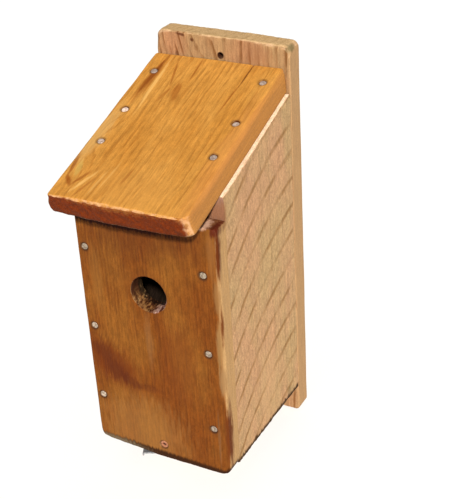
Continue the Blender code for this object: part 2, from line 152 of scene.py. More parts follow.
def rounded(corners, steps=6):
    """Outline points from (x, y, radius) corners, given anticlockwise."""
    points = []
    for i, (x, y, radius) in enumerate(corners):
        here = np.array((x, y), float)
        before = np.array(corners[i - 1][:2], float) - here
        after = np.array(corners[(i + 1) % len(corners)][:2], float) - here
        before /= np.linalg.norm(before)
        after /= np.linalg.norm(after)
        half = math.acos(max(-1.0, min(1.0, float(before @ after)))) / 2.0
        if radius == 0.0 or half > 1.56:
            points.append(here)
            continue
        inward = (before + after) / np.linalg.norm(before + after)
        centre = here + inward * (radius / math.sin(half))
        first = here + before * (radius / math.tan(half)) - centre
        last = here + after * (radius / math.tan(half)) - centre
        sweep = math.atan2(first[0] * last[1] - first[1] * last[0], float(first @ last))
        for step in range(steps + 1):
            angle = sweep * step / steps
            cos, sin = math.cos(angle), math.sin(angle)
            points.append(centre + np.array(((cos, -sin), (sin, cos))) @ first)
    return np.array(points)


def circle(x, y, radius, steps):
    angles = np.arange(steps) * (2.0 * math.pi / steps)
    return np.stack((x + radius * np.cos(angles), y + radius * np.sin(angles)), 1)


def resampled(loop, step):
    """The closed outline again, with points evenly spaced."""
    closed = np.vstack((loop, loop[:1]))
    lengths = np.linalg.norm(np.diff(closed, axis=0), axis=1)
    reach = np.concatenate(((0.0,), np.cumsum(lengths)))
    count = max(12, int(round(reach[-1] / step)))
    at = np.arange(count) * (reach[-1] / count)
    return np.stack((np.interp(at, reach, closed[:, 0]), np.interp(at, reach, closed[:, 1])), 1)


def outward(loop):
    along = np.roll(loop, -1, 0) - np.roll(loop, 1, 0)
    normal = np.stack((along[:, 1], -along[:, 0]), 1)
    return normal / np.linalg.norm(normal, axis=1)[:, None]


def inside(points, loop):
    """Which points lie within a closed outline."""
    result = np.zeros(len(points), bool)
    ends = np.roll(loop, -1, 0)
    for (x0, y0), (x1, y1) in zip(loop, ends):
        if y0 == y1:
            continue
        crosses = (points[:, 1] > y0) != (points[:, 1] > y1)
        at = x0 + (points[:, 1] - y0) * (x1 - x0) / (y1 - y0)
        result ^= crosses & (points[:, 0] < at)
    return result


# Planks: thick flat pieces with shaped edges and holes.

def eased(thick, front, rear, rows):
    """(inset, depth) pairs down an edge that is rounded where it meets both faces."""
    turns = [math.radians(angle) for angle in (0.0, 22.5, 45.0, 67.5, 90.0)]
    top = [(front * (1.0 - math.sin(a)), front * (1.0 - math.cos(a))) for a in turns]
    steps = [front + (thick - front - rear) * (i / rows) for i in range(1, rows)]
    middle = [(0.0, depth) for depth in steps]
    low = [(rear * (1.0 - math.sin(a)), thick - rear * (1.0 - math.cos(a))) for a in turns]
    return top + middle + low[::-1]


def rubbed(loop, radius, seed, low=0.0):
    """Edge radii round an outline: uneven, and larger by low along the lower end."""
    flat = np.column_stack((loop, np.zeros(len(loop))))
    uneven = 1.0 + 0.35 * noise(flat, (22.0, 22.0, 22.0), seed, 2)
    return radius * uneven + low * smooth(0.55, 0.95, -outward(loop)[:, 1])


def offset(loop, amount):
    """The outline moved outwards by one amount, or by one for each point."""
    return loop + outward(loop) * np.broadcast_to(amount, len(loop))[:, None]


def fill(rims, signs, grid):
    """Points and triangles covering the flat face between an outer rim and its holes."""
    width, height = grid
    low, high = rims[0].min(0), rims[0].max(0)
    across = np.arange(low[0] + width / 2.0, high[0], width)
    along = np.arange(low[1] + height / 2.0, high[1], height)
    mesh_x, mesh_y = np.meshgrid(across, along)
    spots = np.stack((mesh_x.ravel(), mesh_y.ravel()), 1)
    margin = 0.55 * min(width, height)
    keep = np.ones(len(spots), bool)
    for rim, sign in zip(rims, signs):
        within = inside(spots, offset(rim, -sign * margin))
        keep &= within if sign > 0 else ~within
    rim_points = np.vstack(rims)
    points = np.vstack((rim_points, spots[keep]))
    edges = []
    start = 0
    for rim in rims:
        count = len(rim)
        edges += [(start + i, start + (i + 1) % count) for i in range(count)]
        start += count
    found = delaunay_2d_cdt([Vector(p) for p in points], edges, [], 0, 1e-7, True)
    origin = [ids[0] for ids in found[3]]
    triangles = np.array([[origin[i] for i in face] for face in found[2]])
    middles = points[triangles].mean(1)
    wanted = inside(middles, rims[0])
    for rim in rims[1:]:
        wanted &= ~inside(middles, rim)
    return points, triangles[wanted]


def plank_mesh(name, outline, holes, grid):
    """A closed plank. outline and each hole are (points, profile) with (inset, depth) pairs."""
    loops = [(*outline, 1.0)]
    loops += [(points, profile, -1.0) for points, profile in holes]
    signs = [sign for _, _, sign in loops]
    faces = []
    vertices = []
    ends = []
    for which in (0, -1):
        rims = [offset(points, -sign * profile[which][0]) for points, profile, sign in loops]
        spread, triangles = fill(rims, signs, grid)
        base = len(vertices)
        depth = float(np.max(outline[1][which][1]))
        vertices += [(x, y, -depth) for x, y in spread]
        faces += [tuple(int(i) + base for i in face) for face in triangles]
        ends.append(base)
    start = 0
    for points, profile, sign in loops:
        count = len(points)
        previous = [ends[0] + start + i for i in range(count)]
        rows = []
        for inset, depth in profile[1:-1]:
            ring = offset(points, -sign * inset)
            depths = np.broadcast_to(depth, count)
            rows.append([len(vertices) + i for i in range(count)])
            vertices += [(x, y, -z) for (x, y), z in zip(ring, depths)]
        rows.append([ends[1] + start + i for i in range(count)])
        for row in rows:
            for i in range(count):
                j = (i + 1) % count
                faces.append((previous[i], previous[j], row[j], row[i]))
            previous = row
        start += count
    mesh = bpy.data.meshes.new(name)
    mesh.from_pydata(vertices, [], faces)
    face_outward(mesh)
    return mesh


def face_outward(mesh):
    shaped = bmesh.new()
    shaped.from_mesh(mesh)
    bmesh.ops.recalc_face_normals(shaped, faces=shaped.faces)
    shaped.to_mesh(mesh)
    shaped.free()


def vertex_data(mesh):
    count = len(mesh.vertices)
    places = np.empty(count * 3)
    mesh.vertices.foreach_get("co", places)
    normals = np.empty(count * 3, np.float32)
    mesh.vertex_normals.foreach_get("vector", normals)
    return places.reshape(-1, 3), normals.reshape(-1, 3).astype(float)


def carve(mesh, relief):
    """Moves each point along its normal by relief(places, normals), in millimetres."""
    places, normals = vertex_data(mesh)
    places = places + normals * relief(places, normals)[:, None]
    mesh.vertices.foreach_set("co", places.ravel())
    mesh.update()


def dress(mesh, material):
    """Turns a mesh made in millimetres into metres and gives it its material."""
    mesh.transform(Matrix.Scale(MM, 4))
    mesh.materials.clear()
    mesh.materials.append(material)
    for polygon in mesh.polygons:
        polygon.use_smooth = True
    mesh.set_sharp_from_angle(angle=math.radians(50.0))
    return mesh


def place(node, mesh, placement, body, slot):
    """Stands a dressed mesh in the row frame, in place of its CAD node."""
    board = node.endswith("_board")
    name = node.replace("_board", "_panel") if board else node + "_piece"
    piece = bpy.data.objects.new(name, mesh)
    bpy.context.scene.collection.objects.link(piece)
    shifted = placement.copy()
    shifted.translation = HOME + placement.translation * MM
    piece.matrix_world = shifted
    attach(piece, body)
    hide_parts(node)


def panel(node, outline, holes, grid, relief, wood, placement, body="box"):
    """A whole board: cut, carved, dressed and stood in place of its CAD node."""
    mesh = plank_mesh(node.replace("_board", "_panel"), outline, holes, grid)
    carve(mesh, relief)
    side = node.replace("left_", "").replace("right_", "")
    place(node, dress(mesh, wood), placement, body, "cedar_" + side.replace("_board", ""))


def axes(x_axis, y_axis, origin):
    """A placement from its X and Y directions and its origin, in box millimetres."""
    x = Vector(x_axis).normalized()
    y = Vector(y_axis).normalized()
    placement = Matrix((x, y, x.cross(y))).transposed().to_4x4()
    placement.translation = Vector(origin)
    return placement


def lathe(name, profile, segments):
    """A turned piece about Z. profile is (radius, height) points from its top to its bottom."""
    turns = [i * 2.0 * math.pi / segments for i in range(segments)]
    vertices = [(0.0, 0.0, profile[0][1])]
    for radius, height in profile[1:-1]:
        vertices += [(radius * math.cos(a), radius * math.sin(a), height) for a in turns]
    vertices.append((0.0, 0.0, profile[-1][1]))
    rings = len(profile) - 2
    last = len(vertices) - 1
    faces = []
    for i in range(segments):
        j = (i + 1) % segments
        faces.append((0, 1 + i, 1 + j))
        for ring in range(rings - 1):
            upper = 1 + ring * segments
            lower = upper + segments
            faces.append((upper + i, lower + i, lower + j, upper + j))
        end = 1 + (rings - 1) * segments
        faces.append((end + j, end + i, last))
    mesh = bpy.data.meshes.new(name)
    mesh.from_pydata(vertices, [], faces)
    face_outward(mesh)
    return mesh


def reshape(mesh, change):
    """Replaces every point with change(places)."""
    places, _ = vertex_data(mesh)
    mesh.vertices.foreach_set("co", change(places).ravel())
    mesh.update()


# Material building.

class Net:
    """A short way to write a procedural material."""

    def __init__(self, name):
        self.material = bpy.data.materials.new(name)
        self.material.use_nodes = True
        self.tree = self.material.node_tree
        self.shader = self.tree.nodes["Principled BSDF"]

    def put(self, socket, value):
        if isinstance(value, bpy.types.NodeSocket):
            self.tree.links.new(value, socket)
        elif isinstance(value, (tuple, list)) and len(value) == 3 and socket.type == "RGBA":
            socket.default_value = (*value, 1.0)
        else:
            socket.default_value = value

    def node(self, kind, **settings):
        made = self.tree.nodes.new(kind)
        for key, value in settings.items():
            setattr(made, key, value)
        return made

    def math(self, operation, first, second=0.0, third=0.0, clamp=False):
        made = self.node("ShaderNodeMath", operation=operation, use_clamp=clamp)
        for socket, value in zip(made.inputs, (first, second, third)):
            self.put(socket, value)
        return made.outputs[0]

    def plus(self, first, second):
        return self.math("ADD", first, second)

    def minus(self, first, second):
        return self.math("SUBTRACT", first, second)

    def times(self, first, second):
        return self.math("MULTIPLY", first, second)

    def vector(self, operation, first, second=(0.0, 0.0, 0.0)):
        made = self.node("ShaderNodeVectorMath", operation=operation)
        self.put(made.inputs[0], first)
        self.put(made.inputs[1], second)
        return made.outputs["Value"] if operation in ("LENGTH", "DOT_PRODUCT") else made.outputs[0]

    def mix(self, factor, first, second, blend="MIX"):
        made = self.node("ShaderNodeMix", data_type="RGBA", blend_type=blend)
        self.put(made.inputs["Factor"], factor)
        self.put(made.inputs[6], first)
        self.put(made.inputs[7], second)
        return made.outputs[2]

    def shade(self, colour, factor):
        """The colour multiplied by a grey or another colour."""
        return self.mix(1.0, colour, factor, "MULTIPLY")

    def vary(self, colour, noise, low, high, spread):
        """The colour darker and lighter by spread as noise goes from low to high."""
        return self.shade(colour, self.between(noise, low, high, 1.0 - spread, 1.0 + spread))

    def between(self, value, low, high, start=0.0, end=1.0):
        """A smooth step from start to end as value goes from low to high."""
        made = self.node("ShaderNodeMapRange", interpolation_type="SMOOTHSTEP")
        for socket, setting in zip(made.inputs, (value, low, high, start, end)):
            self.put(socket, setting)
        return made.outputs[0]

    def noise(self, vector, scale=1.0, detail=2.0, rough=0.5, colour=False):
        made = self.node("ShaderNodeTexNoise")
        self.put(made.inputs["Vector"], vector)
        self.put(made.inputs["Scale"], scale)
        self.put(made.inputs["Detail"], detail)
        self.put(made.inputs["Roughness"], rough)
        return made.outputs["Color"] if colour else made.outputs[0]

    def split(self, vector):
        made = self.node("ShaderNodeSeparateXYZ")
        self.put(made.inputs[0], vector)
        return made.outputs

    def millimetres(self):
        """Object coordinates in millimetres."""
        coordinates = self.node("ShaderNodeTexCoord").outputs["Object"]
        return self.vector("MULTIPLY", coordinates, (1000.0, 1000.0, 1000.0))

    def off_axis(self, place, x, y):
        """Distance from the line through (x, y) that runs along Z."""
        away = self.vector("SUBTRACT", place, (x, y, 0.0))
        return self.vector("LENGTH", self.vector("MULTIPLY", away, (1.0, 1.0, 0.0)))

    def ellipse(self, place, centre, halves, angle):
        """Distance from the middle of an ellipsoid tilted in the board's plane, 1 on its skin."""
        made = self.node("ShaderNodeMapping", vector_type="TEXTURE")
        self.put(made.inputs["Vector"], place)
        made.inputs["Location"].default_value = centre
        made.inputs["Rotation"].default_value = (0.0, 0.0, math.radians(angle))
        made.inputs["Scale"].default_value = halves
        return self.vector("LENGTH", made.outputs[0])

    def bump(self, height, distance, strength=1.0):
        made = self.node("ShaderNodeBump")
        self.put(made.inputs["Strength"], strength)
        self.put(made.inputs["Distance"], distance)
        self.put(made.inputs["Height"], height)
        self.put(self.shader.inputs["Normal"], made.outputs[0])

    def finish(self, colour, roughness, metallic=0.0, specular=0.5):
        self.put(self.shader.inputs["Base Color"], colour)
        self.put(self.shader.inputs["Roughness"], roughness)
        self.shader.inputs["Metallic"].default_value = metallic
        self.shader.inputs["Specular IOR Level"].default_value = specular
        return self.material


SAW_RADIUS = 296.0
SAW_CENTRE = 218.0
SAW_FEED = 27.0
SAW_OFFSET = 1.5


def grained(net, place, look, across, along, detail=3.0, rough=0.6, colour=False):
    """Noise with one length of swell across the grain and another along it."""
    seed = look["seed"]
    moved = net.vector("ADD", place, (seed * 37.0, seed * 91.0, seed * 53.0))
    drawn = net.vector("MULTIPLY", moved, (1.0 / across, 1.0 / along, 1.0 / across))
    return net.noise(drawn, 1.0, detail, rough, colour)


def rings(net, place, look):
    """Latewood lines, from 0 to 1, round the pith and swerving round the knots."""
    slow = grained(net, place, look, 75.0, 230.0, 2.0, 0.5, True)
    bend = look["bend"] * 4.0
    swing = net.vector("MULTIPLY", net.vector("SUBTRACT", slow, (0.5, 0.5, 0.5)), (bend, 0.0, bend))
    x, z = look["pith"]
    from_pith = net.vector("SUBTRACT", net.vector("ADD", place, swing), (x, 0.0, z))
    reach = net.vector("LENGTH", net.vector("MULTIPLY", from_pith, (1.0, 0.0, 1.0)))
    for knot_x, knot_y, half_x, half_y, angle, push in look["knots"]:
        away = net.ellipse(place, (knot_x, knot_y, 0.0), (half_x, half_y, 60.0), angle)
        reach = net.plus(reach, net.times(net.between(away, 1.0, 0.0), push))
    wander = grained(net, place, look, 20.0, 110.0, 3.0, 0.55)
    reach = net.plus(reach, net.times(wander, look["wander"]))
    waver = grained(net, place, look, 6.0, 32.0, 2.0)
    reach = net.plus(reach, net.times(waver, look["waver"]))
    ring = net.math("FRACT", net.math("DIVIDE", reach, look["spacing"]))
    rise = net.between(ring, look["line"], 0.86)
    line = net.times(rise, net.between(ring, 0.9, 1.0, 1.0, 0.0))
    uneven = grained(net, place, look, 7.0, 38.0)
    return net.times(line, net.between(uneven, 0.36, 0.64, 0.05, 1.2))


def saw_marks(net, place, look, colour):
    """Dark arcs left by the saw blade, and the grit of the torn face between them."""
    sway = grained(net, place, look, 40.0, 40.0, 2.0, 0.5)
    x, y, _ = net.split(place)
    off = net.minus(SAW_CENTRE, net.times(x, look["saw_side"]))
    square = net.minus(SAW_RADIUS ** 2, net.times(off, off))
    height = net.minus(net.minus(y, net.math("SQRT", square)), SAW_OFFSET)
    height = net.plus(height, net.times(sway, 4.0))
    phase = net.math("FRACT", net.plus(net.math("DIVIDE", height, SAW_FEED), 20.42))
    apart = net.math("ABSOLUTE", net.minus(phase, 0.5))
    groove = net.between(apart, 0.0, 0.17, 1.0, 0.0)
    patch = grained(net, place, look, 30.0, 30.0)
    groove = net.times(groove, net.between(patch, 0.35, 0.62, 0.2, 1.0))
    colour = net.mix(net.times(groove, look["sawn"]), colour, look["late"])
    grit = grained(net, place, look, 1.6, 2.6, 4.0, 0.7)
    return net.shade(colour, net.between(grit, 0.3, 0.7, 0.86, 1.12)), grit


def stained(net, place, look, colour):
    """Knots, streaks, other marks and patches of painted light and shade: soft-edged ellipses on
    the face, drawn out by the grain.
    """
    ragged = grained(net, place, look, 2.2, 16.0)
    ragged = net.times(net.minus(ragged, 0.5), 1.1)
    for centre, halves, angle, tint, amount in look["stains"]:
        away = net.plus(net.ellipse(place, centre, halves, angle), ragged)
        colour = net.mix(net.between(away, 1.0, 0.35, 0.0, amount), colour, tint)
    return colour


def pressed_rings(net, place, look, colour):
    """The darker ring round a nail or screw head: partly crushed wood, partly painted shade round
    its sunk head.
    """
    nearest = None
    for x, y in look["holes"]:
        away = net.off_axis(place, x, y)
        nearest = away if nearest is None else net.math("MINIMUM", nearest, away)
    if nearest is None:
        return colour
    return net.mix(net.between(nearest, 5.8, 3.7, 0.0, look["hole_shade"]), colour, DARK_RING)


def tunnel(net, place, look, colour):
    """The wood inside a drilled hole with a few pale torn fibres, painted with light and shade: a
    dark left wall, a lit right wall, a shaded upper part and black deep inside.
    """
    x, y, radius = look["tunnel"]
    within = net.between(net.off_axis(place, x, y), radius + 1.2, radius + 0.2)
    strand = net.noise(net.vector("MULTIPLY", place, (0.45, 0.07, 0.16)), 1.0, 3.0, 0.6)
    # Painted shade and painted light: a shaded and a lit copy of the wall's colour.
    wall_tone = net.mix(net.between(strand, 0.42, 0.6), SHADED_WALL_BROWN, SHADED_FIBRE_BROWN)
    lit = net.mix(net.between(strand, 0.42, 0.56), LIT_WALL_RED, LIT_FIBRE_PINK)
    across, along, depth = net.split(place)
    # Painted light on the right of the wall, painted shade on its upper part.
    wall_tone = net.mix(net.between(across, x - 2.0, x + 8.0, 0.0, 0.75), wall_tone, lit)
    wall_tone = net.mix(net.between(along, y + 2.0, y - 9.0, 0.92, 0.0), wall_tone, RAW_SHADE)
    ragged = net.times(net.minus(strand, 0.5), 9.0)
    # Painted shade: the wall turns black deep inside the hole.
    sunk = net.between(net.plus(depth, ragged), -9.5, -15.0, 0.0, 0.97)
    wall_tone = net.mix(sunk, wall_tone, DEEP_SHADE_BLACK)
    return net.mix(net.times(within, 0.95), colour, wall_tone)


# What a cedar board looks like unless its own function says otherwise.
CEDAR = {
    "bend": 1.5, "knots": (), "wander": 3.0, "waver": 2.0, "line": 0.35,
    "sawn": 0.0, "saw_side": 1.0, "fibre": 0.16, "mottle": 0.1, "rough": 0.6, "relief": 1.0,
    "cloud_low": (0.86, 0.8, 0.74), "cloud_high": (1.1, 1.1, 1.06), "end_rings": 0.6,
    "stains": (), "holes": (), "hole_shade": 0.55, "tunnel": None, "edge": None, "inner": 0.0,
    "under": (0.0, -1.0, 0.0), "under_shade": 0.85, "rub": (0.7, 0.45, 0.26), "rub_shade": 0.0,
}


def cedar(name, **changes):
    """Cedar cut from a log, with the same rings running through faces, edges and ends."""
    look = {**CEDAR, **changes}
    net = Net(name)
    place = net.millimetres()
    late = rings(net, place, look)
    fibre = grained(net, place, look, 0.95, 26.0, 4.0, 0.62)
    fleck = grained(net, place, look, 0.45, 8.0, 2.0)
    cloud = grained(net, place, look, 34.0, 95.0, 3.0, 0.55)
    shown = net.math("MULTIPLY", late, look["contrast"], clamp=True)
    colour = net.mix(shown, look["early"], look["late"])
    tint = net.mix(net.between(cloud, 0.32, 0.68), look["cloud_low"], look["cloud_high"])
    colour = net.shade(colour, tint)
    mottle = grained(net, place, look, 3.2, 9.0, 3.0, 0.62)
    colour = net.vary(colour, mottle, 0.3, 0.7, look["mottle"])
    colour = net.vary(colour, fibre, 0.28, 0.72, look["fibre"])
    colour = net.mix(net.between(fleck, 0.6, 0.75, 0.0, 0.28), colour, look["late"])
    height = net.plus(net.times(late, 0.6), net.times(fibre, 0.9))
    if look["sawn"]:
        colour, grit = saw_marks(net, place, look, colour)
        height = net.plus(height, net.times(grit, 2.0))
    facing = net.node("ShaderNodeTexCoord").outputs["Normal"]
    facing_x, facing_y, facing_z = (net.math("ABSOLUTE", part) for part in net.split(facing))
    if look["edge"]:
        side = net.between(facing_x, 0.4, 0.85)
        pale = net.shade(look["edge"], net.between(fibre, 0.28, 0.72, 0.86, 1.1))
        colour = net.mix(side, colour, pale)
    cut_end = net.between(facing_y, 0.6, 0.88)
    pores = net.noise(place, 0.55, 4.0, 0.7)
    shown = net.math("MULTIPLY", late, look["end_rings"], clamp=True)
    end = net.mix(shown, look["end_light"], look["end_dark"])
    end = net.mix(net.between(pores, 0.35, 0.7, 0.0, 0.7), end, look["end_dark"])
    colour = net.mix(cut_end, colour, end)
    grit = grained(net, place, look, 0.8, 1.6, 2.0, 0.7)
    colour = net.vary(colour, grit, 0.25, 0.75, 0.12)
    arris = net.minus(1.0, net.math("MAXIMUM", net.math("MAXIMUM", facing_x, facing_y), facing_z))
    patchy = net.between(net.noise(place, 0.16, 3.0, 0.6), 0.38, 0.62, 0.15, 1.0)
    arris = net.times(net.between(arris, 0.04, 0.15, 0.0, look["rub_shade"]), patchy)
    arris = net.times(arris, net.between(facing_y, 0.08, 0.25))
    colour = net.mix(arris, colour, look["rub"])
    # Painted shade on faces that look down, along the under direction.
    under = net.vector("DOT_PRODUCT", facing, look["under"])
    colour = net.mix(net.between(under, 0.3, 0.9, 0.0, look["under_shade"]), colour, UNDER_SHADE_BROWN)
    colour = stained(net, place, look, colour)
    colour = pressed_rings(net, place, look, colour)
    if look["tunnel"]:
        colour = tunnel(net, place, look, colour)
    # Painted shade: the inside face is made nearly black, standing in for the dark inside of the
    # box.
    if look["inner"]:
        depth = net.plus(net.split(place)[2], look["inner"])
        colour = net.mix(net.between(depth, 3.0, 1.0, 0.0, 0.96), colour, INNER_SHADE_BROWN)
    height = net.plus(height, net.times(net.times(cut_end, pores), 2.5))
    net.bump(height, 0.00028 * look["relief"], 0.8)
    gloss = net.between(fibre, 0.2, 0.8, look["rough"] - 0.06, look["rough"] + 0.14)
    return net.finish(colour, gloss, 0.0, 0.05)


def plated(name, colour, dark, rough, mottle, metal=1.0, recess=0.0):
    """Plated steel with cloudy tone, small dark pits, fine scratches and painted shade down its
    recess.
    """
    net = Net(name)
    place = net.millimetres()
    cloud = net.noise(place, mottle, 3.0, 0.6)
    tint = net.mix(net.between(cloud, 0.35, 0.7), colour, dark)
    pits = net.between(net.noise(place, mottle * 4.0, 3.0, 0.6), 0.62, 0.72, 0.0, 0.6)
    tint = net.mix(pits, tint, tuple(value * 0.35 for value in dark))
    # Painted shade down the driver recess.
    if recess:
        axis = net.off_axis(place, 0.0, 0.0)
        depth = net.split(place)[2]
        sunk = net.times(net.between(depth, -0.3, -0.7), net.between(axis, recess, recess * 0.85))
        tint = net.mix(sunk, tint, RECESS_SHADE)
    shade = net.between(net.node("ShaderNodeObjectInfo").outputs["Random"], 0.0, 1.0, 0.5, 1.15)
    tint = net.shade(tint, shade)
    scratch = net.noise(net.vector("MULTIPLY", place, (7.0, 0.5, 0.5)), 1.0, 3.0, 0.6)
    worn = net.plus(cloud, net.times(scratch, 0.5))
    gloss = net.between(worn, 0.5, 1.1, rough - 0.1, rough + 0.2)
    net.bump(net.plus(scratch, cloud), 0.00004, 0.6)
    return net.finish(tint, gloss, metal)


# Ring round sunk heads: partly crushed wood, partly painted shade.
DARK_RING = (0.06, 0.022, 0.008)
# Painted shade in a screw's driver recess.
RECESS_SHADE = (0.05, 0.006, 0.004)
# Painted light and shade inside drilled holes: shaded wall, lit wall, shaded upper part, black
# depth.
SHADED_WALL_BROWN = (0.05, 0.013, 0.004)
LIT_WALL_RED = (0.12, 0.03, 0.018)
RAW_SHADE = (0.03, 0.004, 0.003)
SHADED_FIBRE_BROWN = (0.24, 0.11, 0.035)
LIT_FIBRE_PINK = (0.55, 0.34, 0.29)
DEEP_SHADE_BLACK = (0.002, 0.001, 0.0015)
# Painted shade of the box's inside.
INNER_SHADE_BROWN = (0.005, 0.003, 0.003)
# Painted shade on faces that look down.
UNDER_SHADE_BROWN = (0.03, 0.012, 0.005)
ORANGE_DARK = (0.28, 0.08, 0.01)
RED_BROWN = (0.072, 0.014, 0.0045)
EDGE_BROWN = (0.125, 0.03, 0.005)
OLIVE = (0.13, 0.105, 0.04)
PALE_STREAK = (0.72, 0.4, 0.115)
# Painted shade along the lower edges.
FOOT_SHADE_BROWN = (0.03, 0.009, 0.002)

# Where the log's middle lies from each board, as X and Z.
FRONT_PITH = (-210.0, -70.0)
SIDE_PITH = (40.0, -120.0)
BACK_PITH = (-150.0, -45.0)
ROOF_PITH = (-230.0, -80.0)
FLOOR_PITH = (75.0, -60.0)


def nail_names(board):
    return [board + "_nail_" + side + "_" + str(i) for side in ("left", "right") for i in (1, 2, 3)]


def nail_spot(node):
    """Where a nail enters its board, in that board's own X and Y."""
    low, high = cad_box(node)
    x = (low.x + high.x) / 2.0
    if node.startswith("roof"):
        return x, (low.z + NAIL_LENGTH * RUN - ROOF_EDGE_Z) / RISE
    return x, (low.z + high.z) / 2.0


LOCK_LOW, LOCK_HIGH = cad_box("floor_lock_screw")
LOCK_SPOT = ((LOCK_LOW.x + LOCK_HIGH.x) / 2.0, (LOCK_LOW.z + LOCK_HIGH.z) / 2.0)
FRONT_SPOTS = [nail_spot(node) for node in nail_names("front")]
ROOF_SPOTS = [nail_spot(node) for node in nail_names("roof")]
BACK_SPOTS = [nail_spot(node) for node in nail_names("back")]


def mark(x, y, half_x, half_y, tint, amount, angle=0, z=0, deep=8):
    """A stain, or a patch of painted light or shade: its centre, half sizes, colour, strength, tilt
    in degrees and half depth.
    """
    return (x, y, z), (half_x, half_y, deep), angle, tint, amount


def front_wood():
    """Red-brown planed cedar: a top darkened by painted shade, a warm foot lightened by painted
    light, a swirl round a knot, a waney right edge.
    """
    return cedar(
        "front_wood", early=(0.183, 0.06, 0.0085), late=(0.103, 0.026, 0.0034), seed=1.0,
        end_light=(0.223, 0.088, 0.034), end_dark=(0.085, 0.021, 0.0069), pith=FRONT_PITH,
        spacing=3.1, contrast=0.36, wander=5.0, fibre=0.16, rough=0.55,
        cloud_low=(0.86, 0.7, 0.6), cloud_high=(1.14, 1.22, 1.25),
        edge=(0.45, 0.258, 0.105), mottle=0.16, hole_shade=0.8,
        knots=((-48.0, 86.0, 34.0, 52.0, 30.0, 13.0),),
        stains=(
            # The next three marks are painted light and shade: a lighter, warmer foot and a darker
            # top under the roof.
            mark(-20, 24, 62, 54, (0.285, 0.128, 0.034), 0.42, deep=12),
            mark(0, 242, 90, 40, RED_BROWN, 0.42, deep=12),
            mark(-40, 212, 48, 50, RED_BROWN, 0.16, deep=12),
            # Painted shadow of the roof's front edge on the board.
            mark(-30, 241.5, 96, 4.2, (0.02, 0.0015, 0.001), 0.9),
            mark(24, 112, 24, 56, (0.148, 0.036, 0.0059), 0.45, deep=9),
            mark(-5, 128, 5, 40, (0.223, 0.099, 0.034), 0.35, deep=9),
            mark(-54, 185, 9, 42, (0.244, 0.099, 0.0196), 0.4, deep=9),
            mark(-47, 94, 42, 27, (0.115, 0.021, 0.003), 0.72, -40, deep=9),
            mark(-58, 106, 20, 11, RED_BROWN, 0.5, -32, deep=9),
            mark(-44, 87, 20, 13, RED_BROWN, 0.62, -48, deep=9),
            mark(-30, 79, 16, 9, RED_BROWN, 0.5, -30, deep=9),
            mark(-10, 76, 20, 6, RED_BROWN, 0.35, deep=6),
            mark(64.5, 232, 5, 34, (0.233, 0.088, 0.022), 0.65, deep=6),
            mark(69.6, 234, 2.8, 36, (0.11, 0.024, 0.004), 1, z=-2.5, deep=6.5),
            mark(67, 253, 5, 8, (0.08, 0.0104, 0.0039), 0.9, z=-6, deep=18),
            # Pale spot of painted light on the top end, in the gap under the roof.
            mark(56, 256, 8, 4.5, (0.6, 0.36, 0.24), 0.95, z=-6, deep=14),
            mark(67.5, 190, 4.5, 24, (0.239, 0.114, 0.037), 0.75, deep=5),
            mark(67, 142, 4, 32, (0.276, 0.151, 0.054), 0.75, deep=5),
            mark(70, 160, 2.2, 26, EDGE_BROWN, 0.95, z=-2, deep=3.5),
            mark(68, 105, 4.5, 24, (0.265, 0.146, 0.059), 0.8, deep=6),
            mark(70.5, 45, 5.4, 50, EDGE_BROWN, 1, z=-2, deep=9.5),
            mark(60.5, 40, 2, 40, (0.265, 0.156, 0.073), 0.2, deep=4),
            # Painted shade along the lower edge, which faces down.
            mark(0, 2.7, 400, 6, FOOT_SHADE_BROWN, 0.97, -1.6, deep=40),
            mark(-66, 4, 60, 5.8, (0.145, 0.1, 0.055), 0.9, -1.6, deep=30),
            mark(67, 2.2, 17, 6, FOOT_SHADE_BROWN, 0.95, 45, deep=60),
        ),
        holes=[*FRONT_SPOTS, LOCK_SPOT], tunnel=(ENTRANCE_X, ENTRANCE_Z, ENTRANCE_RADIUS),
    )


def side_wood(side, facing):
    """Pale rough-sawn cedar. facing is 1 on the right side board and -1 on the left one."""
    return cedar(
        side + "_side_wood", early=(0.49, 0.3, 0.153), late=(0.275, 0.14, 0.047),
        seed=2.0 + facing, end_light=(0.938, 0.707, 0.493), end_dark=(0.714, 0.458, 0.273),
        pith=SIDE_PITH, spacing=6.0, contrast=0.1, fibre=0.06, rough=0.75,
        sawn=0.85, saw_side=facing, relief=1.5, edge=(0.29, 0.155, 0.105),
        inner=RIGHT_HIGH.x - RIGHT_LOW.x,
        cloud_low=(1.06, 0.96, 0.97), cloud_high=(0.96, 1.0, 0.92),
        stains=(
            mark(130 * facing, 10, 4, 6, OLIVE, 0.5, deep=6),
            mark(85 * facing, 45, 30, 60, (0.612, 0.374, 0.179), 0.3, deep=9),
            # Painted shade on the front end, in the gap under the roof.
            mark(20 * facing, 262, 4.5, 15, (0.27, 0.11, 0.045), 0.7, deep=60),
            # Painted shade along the lower edge, which faces down.
            mark(75 * facing, 1.8, 400, 5.6, (0.045, 0.02, 0.007), 0.95, deep=40),
        ),
    )


